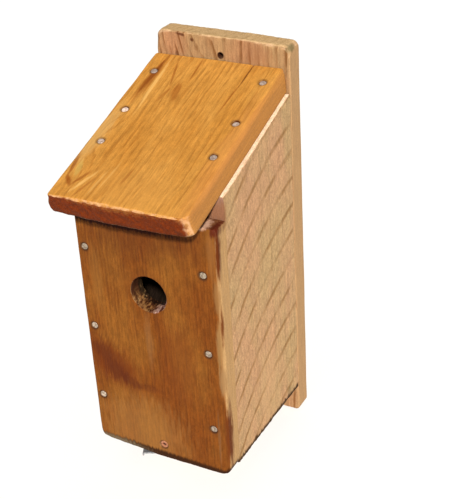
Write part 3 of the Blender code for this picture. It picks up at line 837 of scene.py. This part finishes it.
def back_wood():
    """Pale planed cedar with a few red knots."""
    return cedar(
        "back_wood", early=(0.362, 0.201, 0.096), late=(0.18, 0.071, 0.022), seed=3.0,
        end_light=(0.6, 0.39, 0.19), end_dark=(0.4, 0.24, 0.1), pith=BACK_PITH,
        spacing=8.0, contrast=0.8, bend=1.5, wander=7.0, line=0.5, rough=0.68,
        edge=(0.424, 0.246, 0.112), cloud_low=(1.0, 0.88, 0.86), cloud_high=(1.0, 1.06, 1.0),
        knots=((-33.0, 385.0, 44.0, 80.0, 0.0, 22.0),),
        stains=(
            mark(-40, 359.5, 5.5, 2, RED_BROWN, 0.8, -12, deep=7),
            mark(-28.5, 355.5, 2.6, 2.4, RED_BROWN, 0.8, deep=7),
            mark(-45, 341, 2.5, 4, RED_BROWN, 0.6, deep=7),
            mark(38, 350, 16, 12, (0.265, 0.114, 0.053), 0.4, deep=7),
            mark(46, 305, 26, 60, (0.37, 0.165, 0.06), 0.5, deep=7),
            mark(67, 357, 5, 5, OLIVE, 0.75, z=-6, deep=9),
        ),
        holes=BACK_SPOTS, tunnel=(*MOUNT_HOLE, MOUNT_HOLE_RADIUS), rub_shade=0.5,
    )


def roof_wood():
    """Golden planed cedar: dark and pale streaks, and a V-shaped figure at the front left."""
    return cedar(
        "roof_wood", early=(0.512, 0.233, 0.0435), late=(0.285, 0.1, 0.0126), seed=4.0,
        end_light=(0.185, 0.03, 0.0034), end_dark=(0.085, 0.01, 0.0011), end_rings=0.15,
        pith=ROOF_PITH, spacing=5.6, contrast=0.42, wander=14.0, waver=5.0, line=0.4, fibre=0.16,
        rough=0.55, mottle=0.1, rub=(0.67, 0.38, 0.19), rub_shade=0.75,
        edge=(0.42, 0.178, 0.042), cloud_low=(0.93, 0.86, 0.76), cloud_high=(1.06, 1.08, 1.16),
        under=(0.0, -0.5, -0.87), under_shade=0.6,
        knots=((-57.0, 66.0, 19.0, 58.0, -7.0, 12.0), (-20.0, 145.0, 13.0, 34.0, 4.0, 6.0)),
        stains=(
            mark(-52.5, 157, 6, 42, ORANGE_DARK, 0.75, -3),
            mark(-53, 162, 3.2, 32, (0.2, 0.05, 0.006), 0.85, -3),
            mark(-45.5, 150, 2.6, 44, PALE_STREAK, 0.75, 2),
            mark(-34, 168, 1.5, 27, ORANGE_DARK, 0.7, 15),
            mark(-30, 138, 2.5, 16, ORANGE_DARK, 0.5, -12),
            mark(-15.5, 175, 1.2, 22, ORANGE_DARK, 0.7, 4),
            mark(-19.5, 144, 5.5, 17, ORANGE_DARK, 0.7, 9),
            mark(-63, 39, 2.6, 19, ORANGE_DARK, 0.95, 8),
            mark(-57, 18.5, 3, 11, ORANGE_DARK, 1, 38),
            mark(-47.5, 23, 2.4, 15, ORANGE_DARK, 0.95, -26),
            mark(-56, 34, 4, 14, (0.52, 0.33, 0.08), 0.7, 12),
            mark(-57, 19, 4, 8, ORANGE_DARK, 0.4, 10),
            mark(-43, 19, 2.6, 20, PALE_STREAK, 1, -23),
            mark(-38.5, 14, 2, 18, ORANGE_DARK, 0.75, -18),
            mark(-30, 20, 1.5, 24, PALE_STREAK, 0.6, -4),
            mark(-24, 28, 1.5, 30, PALE_STREAK, 0.5, -3),
            mark(33.7, 182, 1.3, 24, (0.154, 0.048, 0.009), 0.9, -1),
            mark(32.2, 146, 1.1, 30, ORANGE_DARK, 0.7, -3),
            mark(-8.5, 34, 2, 13, ORANGE_DARK, 0.7, -6),
            mark(62, 70, 16, 130, (0.524, 0.208, 0.054), 0.4),
            mark(-62, 80, 11, 52, (0.58, 0.35, 0.12), 0.5),
            mark(0, 20, 75, 34, (0.56, 0.25, 0.05), 0.35),
        ),
        holes=ROOF_SPOTS,
    )


def floor_wood():
    """Clean planed cedar."""
    return cedar(
        "floor_wood", early=(0.6, 0.35, 0.17), late=(0.36, 0.18, 0.07), seed=5.0,
        end_light=(0.5, 0.3, 0.15), end_dark=(0.33, 0.17, 0.08), pith=FLOOR_PITH,
        spacing=6.0, contrast=0.5, rough=0.7, under_shade=0.0,
    )


NAIL_METAL = plated("nail_metal", (0.74, 0.59, 0.45), (0.28, 0.2, 0.14), 0.5, 0.35, 0.4)
DULL_NAIL_METAL = plated("dull_nail_metal", (0.36, 0.29, 0.21), (0.16, 0.11, 0.07), 0.55, 0.35, 0.3)
ROOF_NAIL_METAL = plated("roof_nail_metal", (0.92, 0.72, 0.6), (0.5, 0.34, 0.26), 0.5, 0.35, 0.25)
ZINC_METAL = plated("zinc_metal", (0.72, 0.73, 0.74), (0.45, 0.46, 0.47), 0.42, 0.25, 0.6)
COPPER_METAL = plated("copper_metal", (0.54, 0.23, 0.12), (0.26, 0.08, 0.03), 0.45, 0.6, 0.5, 2.5)


# How the boards' surfaces stand out or sink in, in millimetres.

def worn_edges(places, normals, amount, seed):
    """Edges rubbed and dented more in some places than in others."""
    corner = 1.0 - np.abs(normals).max(1)
    dents = noise(places, (9.0, 9.0, 9.0), seed, 2)
    return -amount * smooth(0.12, 0.3, corner) * (0.6 + dents)


def end_grain(places, normals, amount, seed):
    """Torn fibres on the cut ends."""
    cut_end = smooth(0.6, 0.9, np.abs(normals[:, 1]))
    return amount * cut_end * noise(places, (1.8, 40.0, 2.6), seed, 3)


def raised_grain(places, pith, spacing, seed):
    """Ridges that follow the growth rings along the board."""
    swing = noise(places, (60.0, 210.0, 60.0), seed, 2) * 9.0
    reach = np.hypot(places[:, 0] - pith[0] + swing, places[:, 2] - pith[1])
    phase = reach / spacing + noise(places, (16.0, 120.0, 16.0), seed + 5, 2) * 0.8
    return np.cos(phase * 2.0 * math.pi)


def planed(pith, spacing, ridge, wear, seed, extra=None):
    """Relief of a planed board: raised grain, slow waviness, worn edges and torn ends."""
    def relief(places, normals):
        flat = smooth(0.5, 0.95, 1.0 - np.abs(normals[:, 1]))
        depth = ridge * flat * raised_grain(places, pith, spacing, seed)
        depth += 0.18 * noise(places, (45.0, 110.0, 45.0), seed + 11, 2)
        depth += worn_edges(places, normals, wear, seed + 21)
        depth += end_grain(places, normals, 0.35, seed + 31)
        if extra is not None:
            depth += extra(places, normals)
        return depth
    return relief


def sawn(seed, mirrored):
    """Relief of a rough-sawn board: arcs from the saw blade and torn grit between them."""
    def relief(places, normals):
        off = SAW_CENTRE - places[:, 0] * mirrored
        height = places[:, 1] - np.sqrt(SAW_RADIUS ** 2 - off ** 2) - SAW_OFFSET
        phase = height / SAW_FEED % 1.0
        groove = np.exp(-((np.minimum(phase, 1.0 - phase) * SAW_FEED / 2.4) ** 2))
        face = smooth(0.7, 0.95, np.abs(normals[:, 2]))
        depth = -0.35 * face * groove
        depth += 0.12 * face * np.cos(height * 2.0 * math.pi / 4.5)
        depth += 0.2 * noise(places, (3.0, 6.0, 3.0), seed, 2)
        depth += worn_edges(places, normals, 0.5, seed + 21)
        depth += end_grain(places, normals, 0.3, seed + 31)
        return depth
    return relief


# Boards.

def nail_hole(x, y, thick):
    """A hole in which the head lies just below the surface, with a narrow bore behind it."""
    wide = NAIL_HEAD_RADIUS + 0.3
    depth = NAIL_HEAD_THICK + 0.7
    bore = wide - NAIL_RADIUS - 0.3
    profile = [(0.9, 0.0), (0.35, 0.12), (0.0, 0.45), (0.0, depth), (-bore, depth + 0.2)]
    profile += [(-bore, thick * 0.5), (-bore, thick)]
    return circle(x, y, wide, 28), profile


def front_relief(places, normals):
    """Rough fibres in the entrance, a chipped rim and the swell of the knot."""
    off = np.hypot(places[:, 0] - ENTRANCE_X, places[:, 1] - ENTRANCE_Z)
    bore = smooth(ENTRANCE_RADIUS + 1.6, ENTRANCE_RADIUS + 0.4, off)
    torn = noise(places, (1.2, 9.0, 2.0), 71, 3)
    chips = noise(places, (3.0, 7.0, 3.0), 72, 2)
    low = smooth(ENTRANCE_Z, ENTRANCE_Z - 12.0, places[:, 1])
    depth = bore * ((0.4 + 0.9 * low) * torn - 0.35 * np.maximum(chips, 0.0))
    knot = np.hypot((places[:, 0] + 46.0) / 24.0, (places[:, 1] - 92.0) / 20.0)
    ripple = np.cos(knot * 9.0) * np.exp(-knot ** 2)
    return depth + 0.15 * ripple * smooth(0.8, 1.0, np.abs(normals[:, 2]))


def front_panel():
    """The front board, with its waney right edge and bowed foot."""
    left, right = FRONT_LOW.x, FRONT_HIGH.x
    top = FRONT_HIGH.z
    corners = (
        (left, 1.2, 11.0), (-30.0, -0.8, 30.0), (-6.0, -2.4, 30.0), (right, -2.8, 14.0),
        (right, top, 2.4), (left, top, 2.4),
    )
    thick = FRONT_HIGH.y - FRONT_LOW.y
    loop = resampled(rounded(corners), 1.3)
    waney = smooth(right - 4.0, right - 1.0, loop[:, 0]) * smooth(60.0, 110.0, loop[:, 1])
    waney = 2.2 * waney * (1.0 + 0.5 * smooth(230.0, 190.0, loop[:, 1]))
    outline = (loop, eased(thick, rubbed(loop, 1.3, 91, 3.2) + waney, rubbed(loop, 1.0, 92), 12))
    holes = [(circle(ENTRANCE_X, ENTRANCE_Z, ENTRANCE_RADIUS, 120), eased(thick, 0.9, 0.8, 14))]
    holes += [nail_hole(x, y, thick) for x, y in FRONT_SPOTS]
    lock = circle(*LOCK_SPOT, LOCK_HEAD_RADIUS + 0.7, 32)
    sunk = ((0.5, 0.0), (0.1, 0.15), (-0.1, 0.5), (-0.5, 1.0), (-2.4, 3.2))
    holes.append((lock, [*sunk, (-2.4, thick * 0.6), (-2.4, thick)]))
    relief = planed(FRONT_PITH, 6.2, 0.06, 0.35, 100, front_relief)
    placement = axes((1, 0, 0), (0, 0, 1), (0.0, 0.0, 0.0))
    panel("front_board", outline, holes, (1.0, 2.0), relief, front_wood(), placement)


def side_panel(side):
    """A side board, cut to the roof's slope, with its sawn face outwards."""
    node = side + "_side_board"
    low, high = cad_box(node)
    front, rear, top = low.y, high.y, high.z
    drop = (rear - front) * math.tan(SLOPE)
    facing = 1 if side == "right" else -1
    corners = [(front, 0.0), (rear, 0.0), (rear, top), (front, top - drop)]
    corners = [(x * facing, y, 1.8) for x, y in corners][::facing]
    outer = high.x if facing > 0 else low.x
    placement = axes((0, facing, 0), (0, 0, 1), (outer, 0.0, 0.0))
    loop = resampled(rounded(corners), 1.5)
    outline = (loop, eased(high.x - low.x, rubbed(loop, 0.7, 93, 1.6), rubbed(loop, 0.9, 94), 12))
    relief = sawn(225 + 25 * facing, facing)
    panel(node, outline, [], (1.5, 1.5), relief, side_wood(side, facing), placement)


def back_panel():
    """The back board, with corners rubbed round and the mounting hole."""
    left, right = BACK_LOW.x, BACK_HIGH.x
    low, top = BACK_LOW.z, BACK_HIGH.z
    corners = (
        (left, low, 9.0), (right, low - 1.0, 4.0), (right, top - 1.5, 6.0), (28.0, top, 40.0),
        (left, top + 1.0, 7.0),
    )
    thick = BACK_HIGH.y - BACK_LOW.y
    loop = resampled(rounded(corners), 1.5)
    worn = smooth(20.0, 66.0, loop[:, 0]) * smooth(top - 14.0, top - 3.0, loop[:, 1])
    worn_left = smooth(-48.0, -64.0, loop[:, 0]) * smooth(top - 20.0, top - 6.0, loop[:, 1])
    worn = np.maximum(worn, worn_left)
    front = rubbed(loop, 1.5, 95) + 2.6 * worn
    holes = [(circle(*MOUNT_HOLE, MOUNT_HOLE_RADIUS, 32), eased(thick, 0.5, 0.5, 10))]
    for x, y in BACK_SPOTS:
        points, profile = nail_hole(x, y, thick)
        holes.append((points, [(inset, thick - depth) for inset, depth in profile[::-1]]))
    outline = (loop, eased(thick, front, rubbed(loop, 1.3, 96), 12))
    relief = planed(BACK_PITH, 8.0, 0.1, 0.45, 300)
    placement = axes((1, 0, 0), (0, 0, 1), (0.0, BACK_LOW.y, 0.0))
    panel("back_board", outline, holes, (1.2, 2.6), relief, back_wood(), placement)


def roof_relief(places, normals):
    """A drying check near the rear, and ragged fibres on the front end."""
    line = 33.8 - 0.03 * (190.0 - places[:, 1])
    width = 0.8 * smooth(128.0, 180.0, places[:, 1])
    check = np.exp(-(((places[:, 0] - line) / (width + 0.25)) ** 2))
    top = smooth(0.7, 0.95, normals[:, 2])
    depth = -0.6 * check * top * smooth(125.0, 185.0, places[:, 1])
    ragged = noise(places, (5.0, 30.0, 6.0), 83, 3) * smooth(0.3, 0.9, -normals[:, 1])
    crown = np.maximum(1.0 - (places[:, 0] / 66.0) ** 2, 0.0)
    return depth + 0.7 * ragged + 1.7 * crown * smooth(45.0, 5.0, places[:, 1])


def roof_panel():
    """The roof board in its own slope, with a rubbed right edge."""
    left, right = ROOF_LOW.x, ROOF_HIGH.x
    rear = (ROOF_HIGH.y - ROOF_EDGE_Y) / RUN
    corners = ((left, -1.6, 2.0), (right, 0.0, 8.0), (right, rear, 2.6), (left, rear, 2.6))
    holes = [nail_hole(x, y, ROOF_THICK) for x, y in ROOF_SPOTS]
    loop = resampled(rounded(corners), 1.2)
    right_side = smooth(right - 3.0, right - 0.5, loop[:, 0])
    front = rubbed(loop, 1.4, 97) + 3.6 * right_side * smooth(4.0, 30.0, loop[:, 1])
    outline = (loop, eased(ROOF_THICK, front, rubbed(loop, 1.3, 98, 1.0), 13))
    mesh = plank_mesh("roof_panel", outline, holes, (0.9, 2.2))
    carve(mesh, planed(ROOF_PITH, 6.2, 0.08, 0.5, 400, roof_relief))

    def shaped(places):
        """The rear end cut plumb against the back board, and the sides flared below."""
        lean = smooth(rear - 40.0, rear, places[:, 1]) * math.tan(SLOPE)
        under = smooth(right - 12.0, right, places[:, 0]) * smooth(2.0, ROOF_THICK, -places[:, 2])
        moved = places.copy()
        moved[:, 1] += places[:, 2] * lean
        moved[:, 0] += 1.3 * under
        swell = smooth(2.0, 12.0, -places[:, 2]) - 0.7 * smooth(14.0, ROOF_THICK, -places[:, 2])
        corner = smooth(left + 12.0, left, places[:, 0]) * smooth(55.0, 8.0, places[:, 1])
        moved[:, 0] -= 2.6 * swell * corner
        return moved

    reshape(mesh, shaped)
    placement = axes((1, 0, 0), (0, RUN, RISE), (0.0, ROOF_EDGE_Y, ROOF_EDGE_Z))
    place("roof_board", dress(mesh, roof_wood()), placement, "box", "cedar_roof")


def floor_panel():
    """The clean-out floor, with its grain from side to side."""
    low, high = FLOOR_LOW, FLOOR_HIGH
    ends = ((low.y, low.x), (high.y, low.x), (high.y, high.x), (low.y, high.x))
    corners = [(x, y, 2.0) for x, y in ends]
    loop = resampled(rounded(corners), 1.6)
    outline = (loop, eased(high.z - low.z, rubbed(loop, 1.1, 99), rubbed(loop, 1.1, 98), 12))
    relief = planed(FLOOR_PITH, 6.0, 0.09, 0.4, 500)
    placement = axes((0, 1, 0), (1, 0, 0), (0.0, 0.0, low.z))
    panel("floor_board", outline, [], (1.5, 2.5), relief, floor_wood(), placement, "floor")


# Nails and screws.

def outward_from(point, direction, spin):
    """A placement whose Z leaves the board at a point, turned about itself by spin radians."""
    turn = Vector(direction).to_track_quat("Z", "Y").to_matrix().to_4x4()
    return Matrix.Translation(Vector(point)) @ turn @ Matrix.Rotation(spin, 4, "Z")


def nail_mesh(name, material):
    """A box nail: chequered flat head, grip rings under it, plain shank and a cut point."""
    radius, thick = NAIL_HEAD_RADIUS, NAIL_HEAD_THICK
    profile = [(0.0, 0.0)] + [(r * 0.2, 0.0) for r in range(1, 14)]
    profile += [(2.75, -0.02), (2.95, -0.1), (radius, -0.35), (radius, -0.75), (2.9, -thick)]
    profile += [(NAIL_RADIUS + 0.3, -thick), (NAIL_RADIUS, -thick - 0.6)]
    for ring in range(8):
        height = -thick - 1.2 - ring * 0.9
        profile += [(NAIL_RADIUS, height), (NAIL_RADIUS + 0.12, height - 0.3)]
    profile += [(NAIL_RADIUS, -14.0), (NAIL_RADIUS, 3.4 - NAIL_LENGTH), (0.0, -NAIL_LENGTH)]
    mesh = lathe(name, profile, 48)

    def chequered(places):
        off = np.hypot(places[:, 0], places[:, 1])
        lines = np.abs(np.sin(places[:, :2] * math.pi / 0.95)).min(1)
        cut = smooth(0.45, 0.0, lines) * smooth(2.7, 2.3, off) * (places[:, 2] > -0.05)
        dent = 0.12 * noise(places, (1.6, 1.6, 1.6), 7, 2) * (places[:, 2] > -0.5)
        moved = places.copy()
        moved[:, 2] += dent - 0.14 * cut
        return moved

    reshape(mesh, chequered)
    return dress(mesh, material)


def nails():
    """All the nails. Those high on the front are duller, those in the roof brighter."""
    plain = nail_mesh("nail", NAIL_METAL)
    dull = nail_mesh("dull_nail", DULL_NAIL_METAL)
    bright = nail_mesh("roof_nail", ROOF_NAIL_METAL)
    for number, board in enumerate(("front", "roof", "back")):
        for index, node in enumerate(nail_names(board)):
            x, y = nail_spot(node)
            mesh = bright if board == "roof" else plain
            if board == "front" and y > ENTRANCE_Z:
                mesh = dull
            sink = 1.3 if node == "roof_nail_right_2" else 0.4 + 0.2 * (index % 2)
            if board == "front":
                point, direction = (x, sink, y), (0.0, -1.0, 0.0)
            elif board == "back":
                point, direction = (x, BACK_HIGH.y - sink, y), (0.0, 1.0, 0.0)
            else:
                height = ROOF_EDGE_Z + y * RISE - sink * RUN
                point = (x, ROOF_EDGE_Y + y * RUN + sink * RISE, height)
                direction = (0.0, -RISE, RUN)
            placement = outward_from(point, direction, 1.7 * index + number)
            place(node, mesh, placement, "box", "nail_steel")


def cross_recess(places, size, top):
    """A tapering cross-shaped driver recess sunk into the head."""
    x, y = np.abs(places[:, 0]), np.abs(places[:, 1])
    bars = np.maximum(
        smooth(0.16, 0.11, x / size) * smooth(0.52, 0.36, y / size),
        smooth(0.16, 0.11, y / size) * smooth(0.52, 0.36, x / size),
    )
    on_top = places[:, 2] > top
    return (0.32 * bars + 0.2 * smooth(0.44, 0.2, np.hypot(x, y) / size)) * size * on_top


def screw_mesh(name, head, shoulder, radius, length, domed, material):
    """A wood screw with a cross recess and a cut thread. Its head top is at Z = 0."""
    profile = [(0.0, 0.0)]
    for step in range(1, 25):
        reach = step / 25.0
        fall = domed * (1.0 - math.sqrt(1.0 - 0.85 * reach ** 2))
        profile.append((head * 0.94 * reach, -fall))
    rim = -domed * 0.6
    profile += [(head, rim - 0.12), (head, rim - 0.35), (radius, -shoulder)]
    threads = 8.0
    start = shoulder + 1.5
    steps = int((length - start) * threads / 2.0)
    for step in range(steps + 1):
        height = start + (length - 2.0 - start) * step / steps
        profile.append((radius, -height))
    profile.append((0.0, -length))
    mesh = lathe(name, profile, 72)

    def shaped(places):
        angle = np.arctan2(places[:, 1], places[:, 0]) / (2.0 * math.pi)
        pitch = radius * 0.9
        ridge = np.abs(((places[:, 2] / pitch + angle) % 1.0) - 0.5) * 2.0
        thread = 1.0 + 0.28 * smooth(0.55, 1.0, ridge) - 0.18
        shank = (places[:, 2] < -start)[:, None]
        moved = places.copy()
        moved[:, :2] = np.where(shank, places[:, :2] * thread[:, None], places[:, :2])
        moved[:, 2] -= cross_recess(places, head, -domed * 0.5 - 0.05)
        return moved

    reshape(mesh, shaped)
    return dress(mesh, material)


def screws():
    """Each wood screw, with its head against the piece that it holds."""
    lock = screw_mesh("lock_screw", LOCK_HEAD_RADIUS, 3.0, 1.9, 19.9, 0.12, COPPER_METAL)
    at = outward_from((LOCK_SPOT[0], 0.7, LOCK_SPOT[1]), (0, -1, 0), 0.4)
    place("floor_lock_screw", lock, at, "box", "coppered_steel")
    low, high = cad_box("button_screw")
    head, length = (high.x - low.x) / 2.0, high.z - low.z
    pan = screw_mesh("button_screw", head, 2.3, 1.6, length, 1.3, ZINC_METAL)
    small = screw_mesh("hinge_screw", HINGE_HEAD_RADIUS, 1.9, 1.2, 12.0, 0.25, ZINC_METAL)
    below, ahead = (0, 0, -1), (0, -1, 0)
    for node, mesh, body, direction, spin in (
        ("button_screw", pan, "box", below, 0.9),
        ("hinge_floor_screw_left", small, "floor", below, 0.3),
        ("hinge_back_screw_left", small, "box", ahead, 1.0),
        ("hinge_floor_screw_right", small, "floor", below, 1.1),
        ("hinge_back_screw_right", small, "box", ahead, 1.8),
    ):
        point = middle(node)
        low, _ = cad_box(node)
        if direction == below:
            point.z = low.z
        else:
            point.y = low.y
        place(node, mesh, outward_from(point, direction, spin), body, "zinc_plate")


# Hinge and turn button, bent from plate.

def bent(places, start, radius, most, thick):
    """Bends a plate along X round an axis below it, from X = start, through most radians."""
    angle = np.clip((places[:, 0] - start) / radius, 0.0, most)
    extra = np.maximum(places[:, 0] - start - most * radius, 0.0)
    reach = radius + places[:, 2] + thick / 2.0
    moved = places.copy()
    curved = places[:, 0] > start
    x = start + reach * np.sin(angle) + extra * np.cos(angle)
    z = -thick / 2.0 - radius + reach * np.cos(angle) - extra * np.sin(angle)
    moved[:, 0] = np.where(curved, x, places[:, 0])
    moved[:, 2] = np.where(curved, z, places[:, 2])
    return moved


PIN_RADIUS = 1.0
LEAF_THICK = 1.1
KNUCKLE_BEND = 1.6
KNUCKLE_TURN = math.radians(305.0)
KNUCKLE_HALF = 7.8


def leaf_mesh(name, length, half, tabs, screw_x):
    """A stamped hinge leaf with its tabs curled round the pin. X runs towards the pin."""
    curl = KNUCKLE_BEND * KNUCKLE_TURN
    base = -3.0
    corners = [(-length, -half, 3.0), (base, -half, 0.4)]
    for low, high in tabs:
        corners += [(base, low, 0.3), (curl, low, 0.3), (curl, high, 0.3), (base, high, 0.3)]
    corners += [(base, half, 0.4), (-length, half, 3.0)]
    kept = [c for i, c in enumerate(corners) if c[:2] != corners[i - 1][:2]]
    loop = resampled(rounded(kept, 3), 0.45)
    holes = []
    for y in (-screw_x, screw_x):
        points = circle(-length * 0.6, y, 1.7, 24)
        holes.append((points, [(0.05, 0.0), (0.0, 0.1), (0.0, 0.3), (0.9, 0.9), (1.2, LEAF_THICK)]))
    profile = eased(LEAF_THICK, 0.22, 0.22, 3)
    mesh = plank_mesh(name, (loop, profile), holes, (0.5, 1.6))
    reshape(mesh, lambda places: bent(places, 0.0, KNUCKLE_BEND, KNUCKLE_TURN, LEAF_THICK))
    return dress(mesh, ZINC_METAL)


def hinge():
    """The butt hinge: one leaf on the floor, one on the back board, and the pin between."""
    low, high = cad_box("hinge_pin")
    centre = middle("hinge_pin")
    half = (high.x - low.x) / 2.0 + 0.5
    floor_low, _ = cad_box("hinge_floor_leaf")
    back_low, _ = cad_box("hinge_back_leaf")
    screw_x = cad_box("hinge_back_screw_right")[0].x + HINGE_HEAD_RADIUS
    edge = half - 0.2
    tabs = [(-KNUCKLE_HALF, KNUCKLE_HALF)]
    mesh = leaf_mesh("hinge_floor_leaf_piece", centre.y - floor_low.y, edge, tabs, screw_x)
    rise = KNUCKLE_BEND + LEAF_THICK / 2.0
    at = axes((0, 1, 0), (-1, 0, 0), (0.0, centre.y, centre.z + rise))
    place("hinge_floor_leaf", mesh, at, "floor", "zinc_plate")
    tabs = [(-edge, -KNUCKLE_HALF - 0.5), (KNUCKLE_HALF + 0.5, edge)]
    mesh = leaf_mesh("hinge_back_leaf_piece", centre.z - back_low.z, edge, tabs, screw_x)
    at = axes((0, 0, 1), (1, 0, 0), (0.0, centre.y + rise, centre.z))
    place("hinge_back_leaf", mesh, at, "box", "zinc_plate")
    profile = [(0.0, half)] + [
        (PIN_RADIUS * math.sin(math.radians(a)), half - 0.5 + 0.5 * math.cos(math.radians(a)))
        for a in (30, 60, 90)
    ]
    profile += [(PIN_RADIUS, half - 4.0), (PIN_RADIUS, 4.0 - half)]
    profile += [(radius, -height) for radius, height in profile[3:0:-1]] + [(0.0, -half)]
    pin = dress(lathe("hinge_pin_piece", profile, 32), ZINC_METAL)
    at = outward_from((0.0, centre.y, centre.z), (1, 0, 0), 0.0)
    place("hinge_pin", pin, at, "box", "zinc_plate")


BUTTON_TURN = math.radians(205.0)
BUTTON_HALF = 5.5
BUTTON_ARM = 18.5
BUTTON_TAIL = 6.5
BUTTON_BEND = 1.1
BUTTON_THICK = 1.2


def turn_button():
    """The stamped button that turns under the front board's edge."""
    low, high = cad_box("turn_button")
    centre = middle("button_screw")
    start = BUTTON_ARM - BUTTON_BEND - BUTTON_THICK / 2.0
    drop = high.z - low.z - BUTTON_THICK / 2.0 - BUTTON_BEND
    end = start + BUTTON_BEND * math.pi / 2.0 + drop
    half = BUTTON_HALF
    outline = (
        (-BUTTON_TAIL, -half, half * 0.85), (start + 1.0, -half, 2.0), (end, 0.6 - half, 2.5),
        (end, half - 0.6, 2.5), (start + 1.0, half, 2.0), (-BUTTON_TAIL, half, half * 0.85),
    )
    loop = resampled(rounded(outline), 0.5)
    eye = (circle(0.0, 0.0, 1.9, 24), eased(BUTTON_THICK, 0.2, 0.2, 2))
    edge = eased(BUTTON_THICK, 0.3, 0.3, 3)
    mesh = plank_mesh("turn_button_piece", (loop, edge), [eye], (0.45, 0.9))

    def stamped(places):
        """A shallow rib pressed along the arm, then the finger lip bent down."""
        rib = np.exp(-((places[:, 1] / 1.5) ** 2)) * smooth(5.0, 7.5, places[:, 0])
        rib = rib * smooth(start - 1.0, start - 4.0, places[:, 0])
        pressed = places.copy()
        pressed[:, 2] -= 0.5 * rib
        return bent(pressed, start, BUTTON_BEND, math.pi / 2.0, BUTTON_THICK)

    reshape(mesh, stamped)
    at = axes(
        (math.cos(BUTTON_TURN), math.sin(BUTTON_TURN), 0.0),
        (-math.sin(BUTTON_TURN), math.cos(BUTTON_TURN), 0.0),
        (centre.x, centre.y, high.z),
    )
    place("turn_button", dress(mesh, ZINC_METAL), at, "button", "zinc_plate")


front_panel()
side_panel("left")
side_panel("right")
back_panel()
roof_panel()
floor_panel()
nails()
screws()
hinge()
turn_button()


# Stage, light and camera.

PAPER_HALF = 6.0
KEY_AZIMUTH = math.radians(31.0)
KEY_ELEVATION = math.radians(35.5)
KEY_POWER = 5.0
KEY_SPREAD = math.radians(3.5)
SKY_STRENGTH = 0.2


def stage():
    """Plain white paper under the lowest point of the box."""
    low = min(CAD_BOUNDS[0].z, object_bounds()[0].z) - 0.0005
    mesh = bpy.data.meshes.new("studio_floor")
    half = PAPER_HALF
    corners = ((-half, -half), (half, -half), (half, half), (-half, half))
    mesh.from_pydata([(x, y, low) for x, y in corners], [], [(0, 1, 2, 3)])
    floor = bpy.data.objects.new("studio_floor", mesh)
    bpy.context.scene.collection.objects.link(floor)
    net = Net("studio_paper")
    net.finish((0.95, 0.95, 0.945), 0.9, 0.0, 0.1)
    mesh.materials.append(net.material)
    floor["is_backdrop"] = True


def towards(azimuth, elevation):
    """The direction at an azimuth, turned from the front to the right, and an elevation."""
    flat = math.cos(elevation)
    return Vector((math.sin(azimuth) * flat, -math.cos(azimuth) * flat, math.sin(elevation)))


def key_light():
    """One distant studio lamp, from the camera's side."""
    light = bpy.data.lights.new("key", "SUN")
    light.energy = KEY_POWER
    light.angle = KEY_SPREAD
    light.color = (1.0, 0.985, 0.96)
    piece = bpy.data.objects.new("key", light)
    away = towards(KEY_AZIMUTH, KEY_ELEVATION)
    piece.location = away * 2.0
    piece.rotation_euler = away.to_track_quat("Z", "Y").to_euler()
    bpy.context.scene.collection.objects.link(piece)


def lighting():
    """A soft white sky and the key lamp."""
    world = bpy.data.worlds.new("studio")
    world.use_nodes = True
    sky = world.node_tree.nodes["Background"]
    sky.inputs["Color"].default_value = (1.0, 1.0, 1.0, 1.0)
    sky.inputs["Strength"].default_value = SKY_STRENGTH
    bpy.context.scene.world = world
    key_light()
    bpy.context.scene.view_settings.view_transform = "Standard"


CAMERA_AIM = Vector((0.02595, -0.07705, 0.01411))
CAMERA_AZIMUTH = math.radians(29.44)
CAMERA_ELEVATION = math.radians(29.16)
CAMERA_ROLL = math.radians(-3.51)
CAMERA_DISTANCE = 1.0552
CAMERA_LENS = 83.07


def camera():
    """The camera, turned slightly about its own axis."""
    data = bpy.data.cameras.new("camera")
    data.lens = CAMERA_LENS
    data.sensor_width = 36.0
    data.clip_start = 0.05
    data.clip_end = 50.0
    piece = bpy.data.objects.new("camera", data)
    bpy.context.scene.collection.objects.link(piece)
    away = towards(CAMERA_AZIMUTH, CAMERA_ELEVATION)
    right = Vector((math.cos(CAMERA_AZIMUTH), math.sin(CAMERA_AZIMUTH), 0.0))
    up = away.cross(right)
    rolled_right = right * math.cos(CAMERA_ROLL) + up * math.sin(CAMERA_ROLL)
    rolled_up = up * math.cos(CAMERA_ROLL) - right * math.sin(CAMERA_ROLL)
    turn = Matrix((rolled_right, rolled_up, away)).transposed().to_4x4()
    turn.translation = CAMERA_AIM + away * CAMERA_DISTANCE
    piece.matrix_world = turn
    bpy.context.scene.camera = piece


stage()
lighting()
camera()
